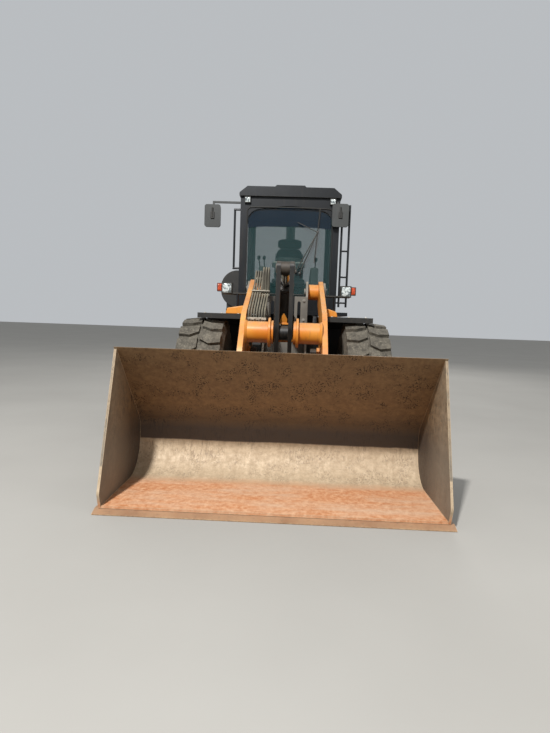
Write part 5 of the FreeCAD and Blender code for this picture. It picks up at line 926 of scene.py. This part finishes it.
# Arm consoles and levers: moulded grey-green pods either side of the seat, smooth and half matt,
# with black knobs on bent steel sticks in rubber gaiters.
console_plastic = enamel("moulded_console_plastic", "3c4744", "4a5551", dust="8f8f80", dusty=0.4,
                         chipped=0.0, grime=0.1)
coat_solids(console_plastic, "steering_console")
pods = bmesh.new()
for side in (1, -1):
    made = slab(pods, (side * 0.33, 0.42, 1.62), (side * 0.45, 0.98, 2.20))
    for vert in made:
        if vert.co.y < 0.5 and vert.co.z > 2.0:
            vert.co.z += 0.10
            vert.co.y += 0.06
settle("arm_consoles", pods, console_plastic, "rear_frame", 0.025)
levers = bmesh.new()
for x, y, lean in ((-0.42, 0.52, -0.03), (-0.36, 0.52, -0.01), (0.39, 0.56, 0.02)):
    turned_bar(levers, (x, y, 2.20), (x + lean, y - 0.05, 2.40), 0.008, 12)
    lathe(levers, (x, y, 2.19), (0, 0, 1),
          [(0.001, 0), (0.034, 0), (0.034, 0.008), (0.020, 0.030), (0.012, 0.050),
           (0.001, 0.050)], 24)
    lathe(levers, (x + lean, y - 0.05, 2.385), (0, 0, 1),
          [(0.001, 0), (0.014, 0), (0.024, 0.020), (0.024, 0.045), (0.014, 0.062),
           (0.001, 0.066)], 24)
settle("control_levers", levers, black_plastic, "rear_frame")

# Dash top: a pale plastic binnacle, moulded in one piece and screwed to the steering column. It
# is dusty and matt.
dash_grey = enamel("pale_dash_moulding", "8d9a92", "a3aea5", dust="b5b3a2", gloss=0.55,
                   chipped=0.0, grime=0.1)
binnacle = bmesh.new()
made = slab(binnacle, (-0.235, 0.255, 2.322), (0.235, 0.425, 2.352))
for vert in made:
    if vert.co.z > 2.34:
        vert.co.x *= 0.9
        vert.co.y += 0.02
settle("dash_binnacle", binnacle, dash_grey, "rear_frame", 0.010)

# Steps and handrails: bent tube and folded plate in the cab's black enamel. The treads have
# raised diamonds for boots to bite on.
coat_solids(black_enamel, "handrails", "steps")
TREAD_TOPS = (0.458, 0.788)
studs = bmesh.new()
for side in (1, -1):
    for top in TREAD_TOPS:
        for row in range(8):
            for column in range(7):
                x = side * (1.045 + 0.027 * column)
                y = 0.69 + 0.034 * row
                lean = 0.008 if (row + column) % 2 else -0.008
                turned_bar(studs, (x - 0.008, y - lean, top), (x + 0.008, y + lean, top),
                           0.0032, 5)
settle("tread_studs", studs, black_enamel, "rear_frame")

# Hood, cowl and side tanks: pressed steel skins in the machine's orange. Slats fill the louvres
# at each side, two black latches hold the hood, and its grille is black.
coat_solids(orange_enamel, "hood", "cooling_cowl", "side_tanks")
coat_solids(black_enamel, "hood_grille")
HOOD_SKIN = 0.5195
SLAT_EDGE = 0.5275
for side, word in SIDES:
    for name, body, rows, low_z, front, back, tall in (
            ("hood_louvres_", "hood", 7, 1.52, 2.12, 2.42, 0.022),
            ("cowl_louvres_", "rear_frame", 9, 1.45, 1.56, 1.88, 0.020)):
        slats = bmesh.new()
        for number in range(rows):
            z = low_z + 0.055 * number
            made = slab(slats, (side * HOOD_SKIN, front, z), (side * SLAT_EDGE, back, z + tall))
            for vert in made:
                if abs(vert.co.x) > 0.525 and vert.co.z > z + 0.01:
                    vert.co.x = side * 0.520
        settle(name + word, slats, black_enamel, body, 0.002)
    latch = bmesh.new()
    for y in (2.30, 2.95):
        slab(latch, (side * 0.499, y, 1.372), (side * 0.519, y + 0.10, 1.402))
        turned_bar(latch, (side * 0.515, y + 0.05, 1.387), (side * 0.524, y + 0.05, 1.387), 0.014,
                   20)
    settle("hood_latches_" + word, latch, black_plastic, "hood", 0.004)

# Exhaust stack: rolled steel tube, heat-dulled to blue-grey and rusty where it is chipped, banded
# with two clamps.
stack_steel = enamel("heat_dulled_exhaust_steel", "74767a", "5f5c58", dust="8e8472", gloss=0.45,
                     dusty=0.2, chipped=0.4, metal="6d4a33", grime=0.6)
coat_solids(stack_steel, "exhaust_stack")
band = bmesh.new()
for z in (2.32, 2.86):
    lathe(band, (0, 1.725, z), (0, 0, 1),
          [(0.0785, 0), (0.083, 0.002), (0.083, 0.024), (0.0785, 0.026)])
slab(band, (-0.012, 1.632, 2.325), (0.012, 1.645, 2.341))
settle("stack_bands", band, zinc, "rear_frame")

# Lamp bracket feet and posts: short orange castings that stand on the front fenders beside the
# arms, and bent black tube that carries the lamps.
for side, word, out, top in ((-1, "right", 0.735, 1.655), (1, "left", 0.640, 1.650)):
    foot = bmesh.new()
    made = slab(foot, (side * 0.505, -1.05, FENDER_TOP + 0.0005), (side * out, -0.90, top))
    for vert in made:
        if vert.co.z > 1.6 and abs(vert.co.x) > 0.55:
            vert.co.z -= 0.035
            vert.co.x -= side * 0.02
    settle("lamp_foot_" + word, foot, orange_enamel, "front_frame", 0.010)
    post = bmesh.new()
    turned_bar(post, (side * 0.60, -0.975, 1.62), (side * 0.60, -0.975, 1.7955), 0.016, 20)
    turned_bar(post, (side * 0.60, -0.975, 1.79), (side * 0.68, -0.975, 1.8015), 0.014, 20)
    settle("lamp_post_" + word, post, black_enamel, "front_frame")

# Headlamps, turn lamps and roof lamps: black moulded housings, matt with dust. The lens is clear
# fluted plastic over a bright bowl, and the turn lamp beside it is amber-red.
housing = enamel("moulded_black_lamp_housing", "1d1d1c", "2c2b29", dust="8b8371", chipped=0.0)
coat_solids(housing, "headlamps", "roof_lamps")


def lens_plastic(name, colour, deep, glow):
    """Clear fluted lamp plastic: flutes 16 mm apart, over a bright bowl that shows in patches
    of 30 mm, with a wet gloss."""
    material = bare(name)
    spot = add(material, "TexCoord").outputs["Object"]
    flute = add(material, "TexWave", {
        "Vector": spot, "Scale": 20, "Distortion": 0.0}, bands_direction="X")
    spread = add(material, "TexNoise", {"Vector": spot, "Scale": 35, "Detail": 2})
    facet = add(material, "MapRange", {
        "Value": spread, "From Min": 0.47, "From Max": 0.56, "To Max": 0.9})
    mixed = add(material, "MixRGB", {"Fac": facet, "Color1": colour, "Color2": deep})
    ridge = add(material, "Bump", {
        "Height": flute.outputs["Fac"], "Strength": 0.5, "Distance": 0.004})
    shader = add(material, "BsdfPrincipled", {
        "Base Color": mixed, "Roughness": 0.12, "Normal": ridge, "Coat Weight": 0.6,
        "Coat Roughness": 0.05, "Emission Color": colour, "Emission Strength": glow})
    add(material, "OutputMaterial", {"Surface": shader})
    return material


clear_lens = lens_plastic("clear_fluted_lens_plastic", "ccd2cf", "4f585b", 0.0)
amber_lens = lens_plastic("amber_red_lens_plastic", "c24a22", "7a2a12", 0.03)


def lamp_face(name, low, high, front, bulge, material, body, frame_width=0.008):
    """Sets a domed lens with a raised rim on a housing's face, whose front is at y = front."""
    way = -1 if bulge > 0 else 1

    def dome(row, column):
        """Places one corner of the lens."""
        u, v = column / 12, row / 12
        swell = (1 - (2 * u - 1) ** 6) * (1 - (2 * v - 1) ** 6)
        return (low[0] + u * (high[0] - low[0]), front + way * 0.0008 - bulge * swell,
                low[1] + v * (high[1] - low[1]))

    face = bmesh.new()
    sheet(face, 12, 12, dome)
    settle(name + "_lens", face, material, body)
    rim = bmesh.new()
    out = frame_width
    for a, b in (((low[0] - out, low[1] - out), (high[0] + out, low[1])),
                 ((low[0] - out, high[1]), (high[0] + out, high[1] + out)),
                 ((low[0] - out, low[1]), (low[0], high[1])),
                 ((high[0], low[1]), (high[0] + out, high[1]))):
        slab(rim, (a[0], front + 0.006 * way, a[1]), (b[0], front, b[1]))
    settle(name + "_rim", rim, housing, body, 0.0015)


for side, word in SIDES:
    spans = sorted((side * 0.676, side * 0.784))
    lamp_face("headlamp_" + word, (spans[0], 1.808), (spans[1], 1.918), -1.015, 0.008, clear_lens,
              "front_frame")
    spans = sorted((side * 0.797, side * 0.846))
    lamp_face("turn_lamp_" + word, (spans[0], 1.826), (spans[1], 1.914), -1.007, 0.010, amber_lens,
              "front_frame", 0.004)
    spans = sorted((side * 0.556, side * 0.624))
    lamp_face("roof_lamp_" + word, (spans[0], 3.101), (spans[1], 3.169), -0.109, 0.005, clear_lens,
              "rear_frame", 0.006)
    lamp_face("rear_roof_lamp_" + word, (spans[0], 3.101), (spans[1], 3.169), 1.459, -0.005,
              clear_lens, "rear_frame", 0.006)

# Rear lamps: moulded cases that stand on the counterweight's corners, bolted from below, with
# amber-red lenses.
for side, word in SIDES:
    spans = sorted((side * 0.96, side * 1.12))
    case = bmesh.new()
    slab(case, (spans[0] - 0.012, 3.445, 1.322), (spans[1] + 0.012, 3.50, 1.432))
    settle("rear_lamp_case_" + word, case, housing, "rear_frame", 0.008)
    lamp_face("rear_lamp_" + word, (spans[0], 1.345), (spans[1], 1.420), 3.502, -0.006, amber_lens,
              "rear_frame", 0.005)
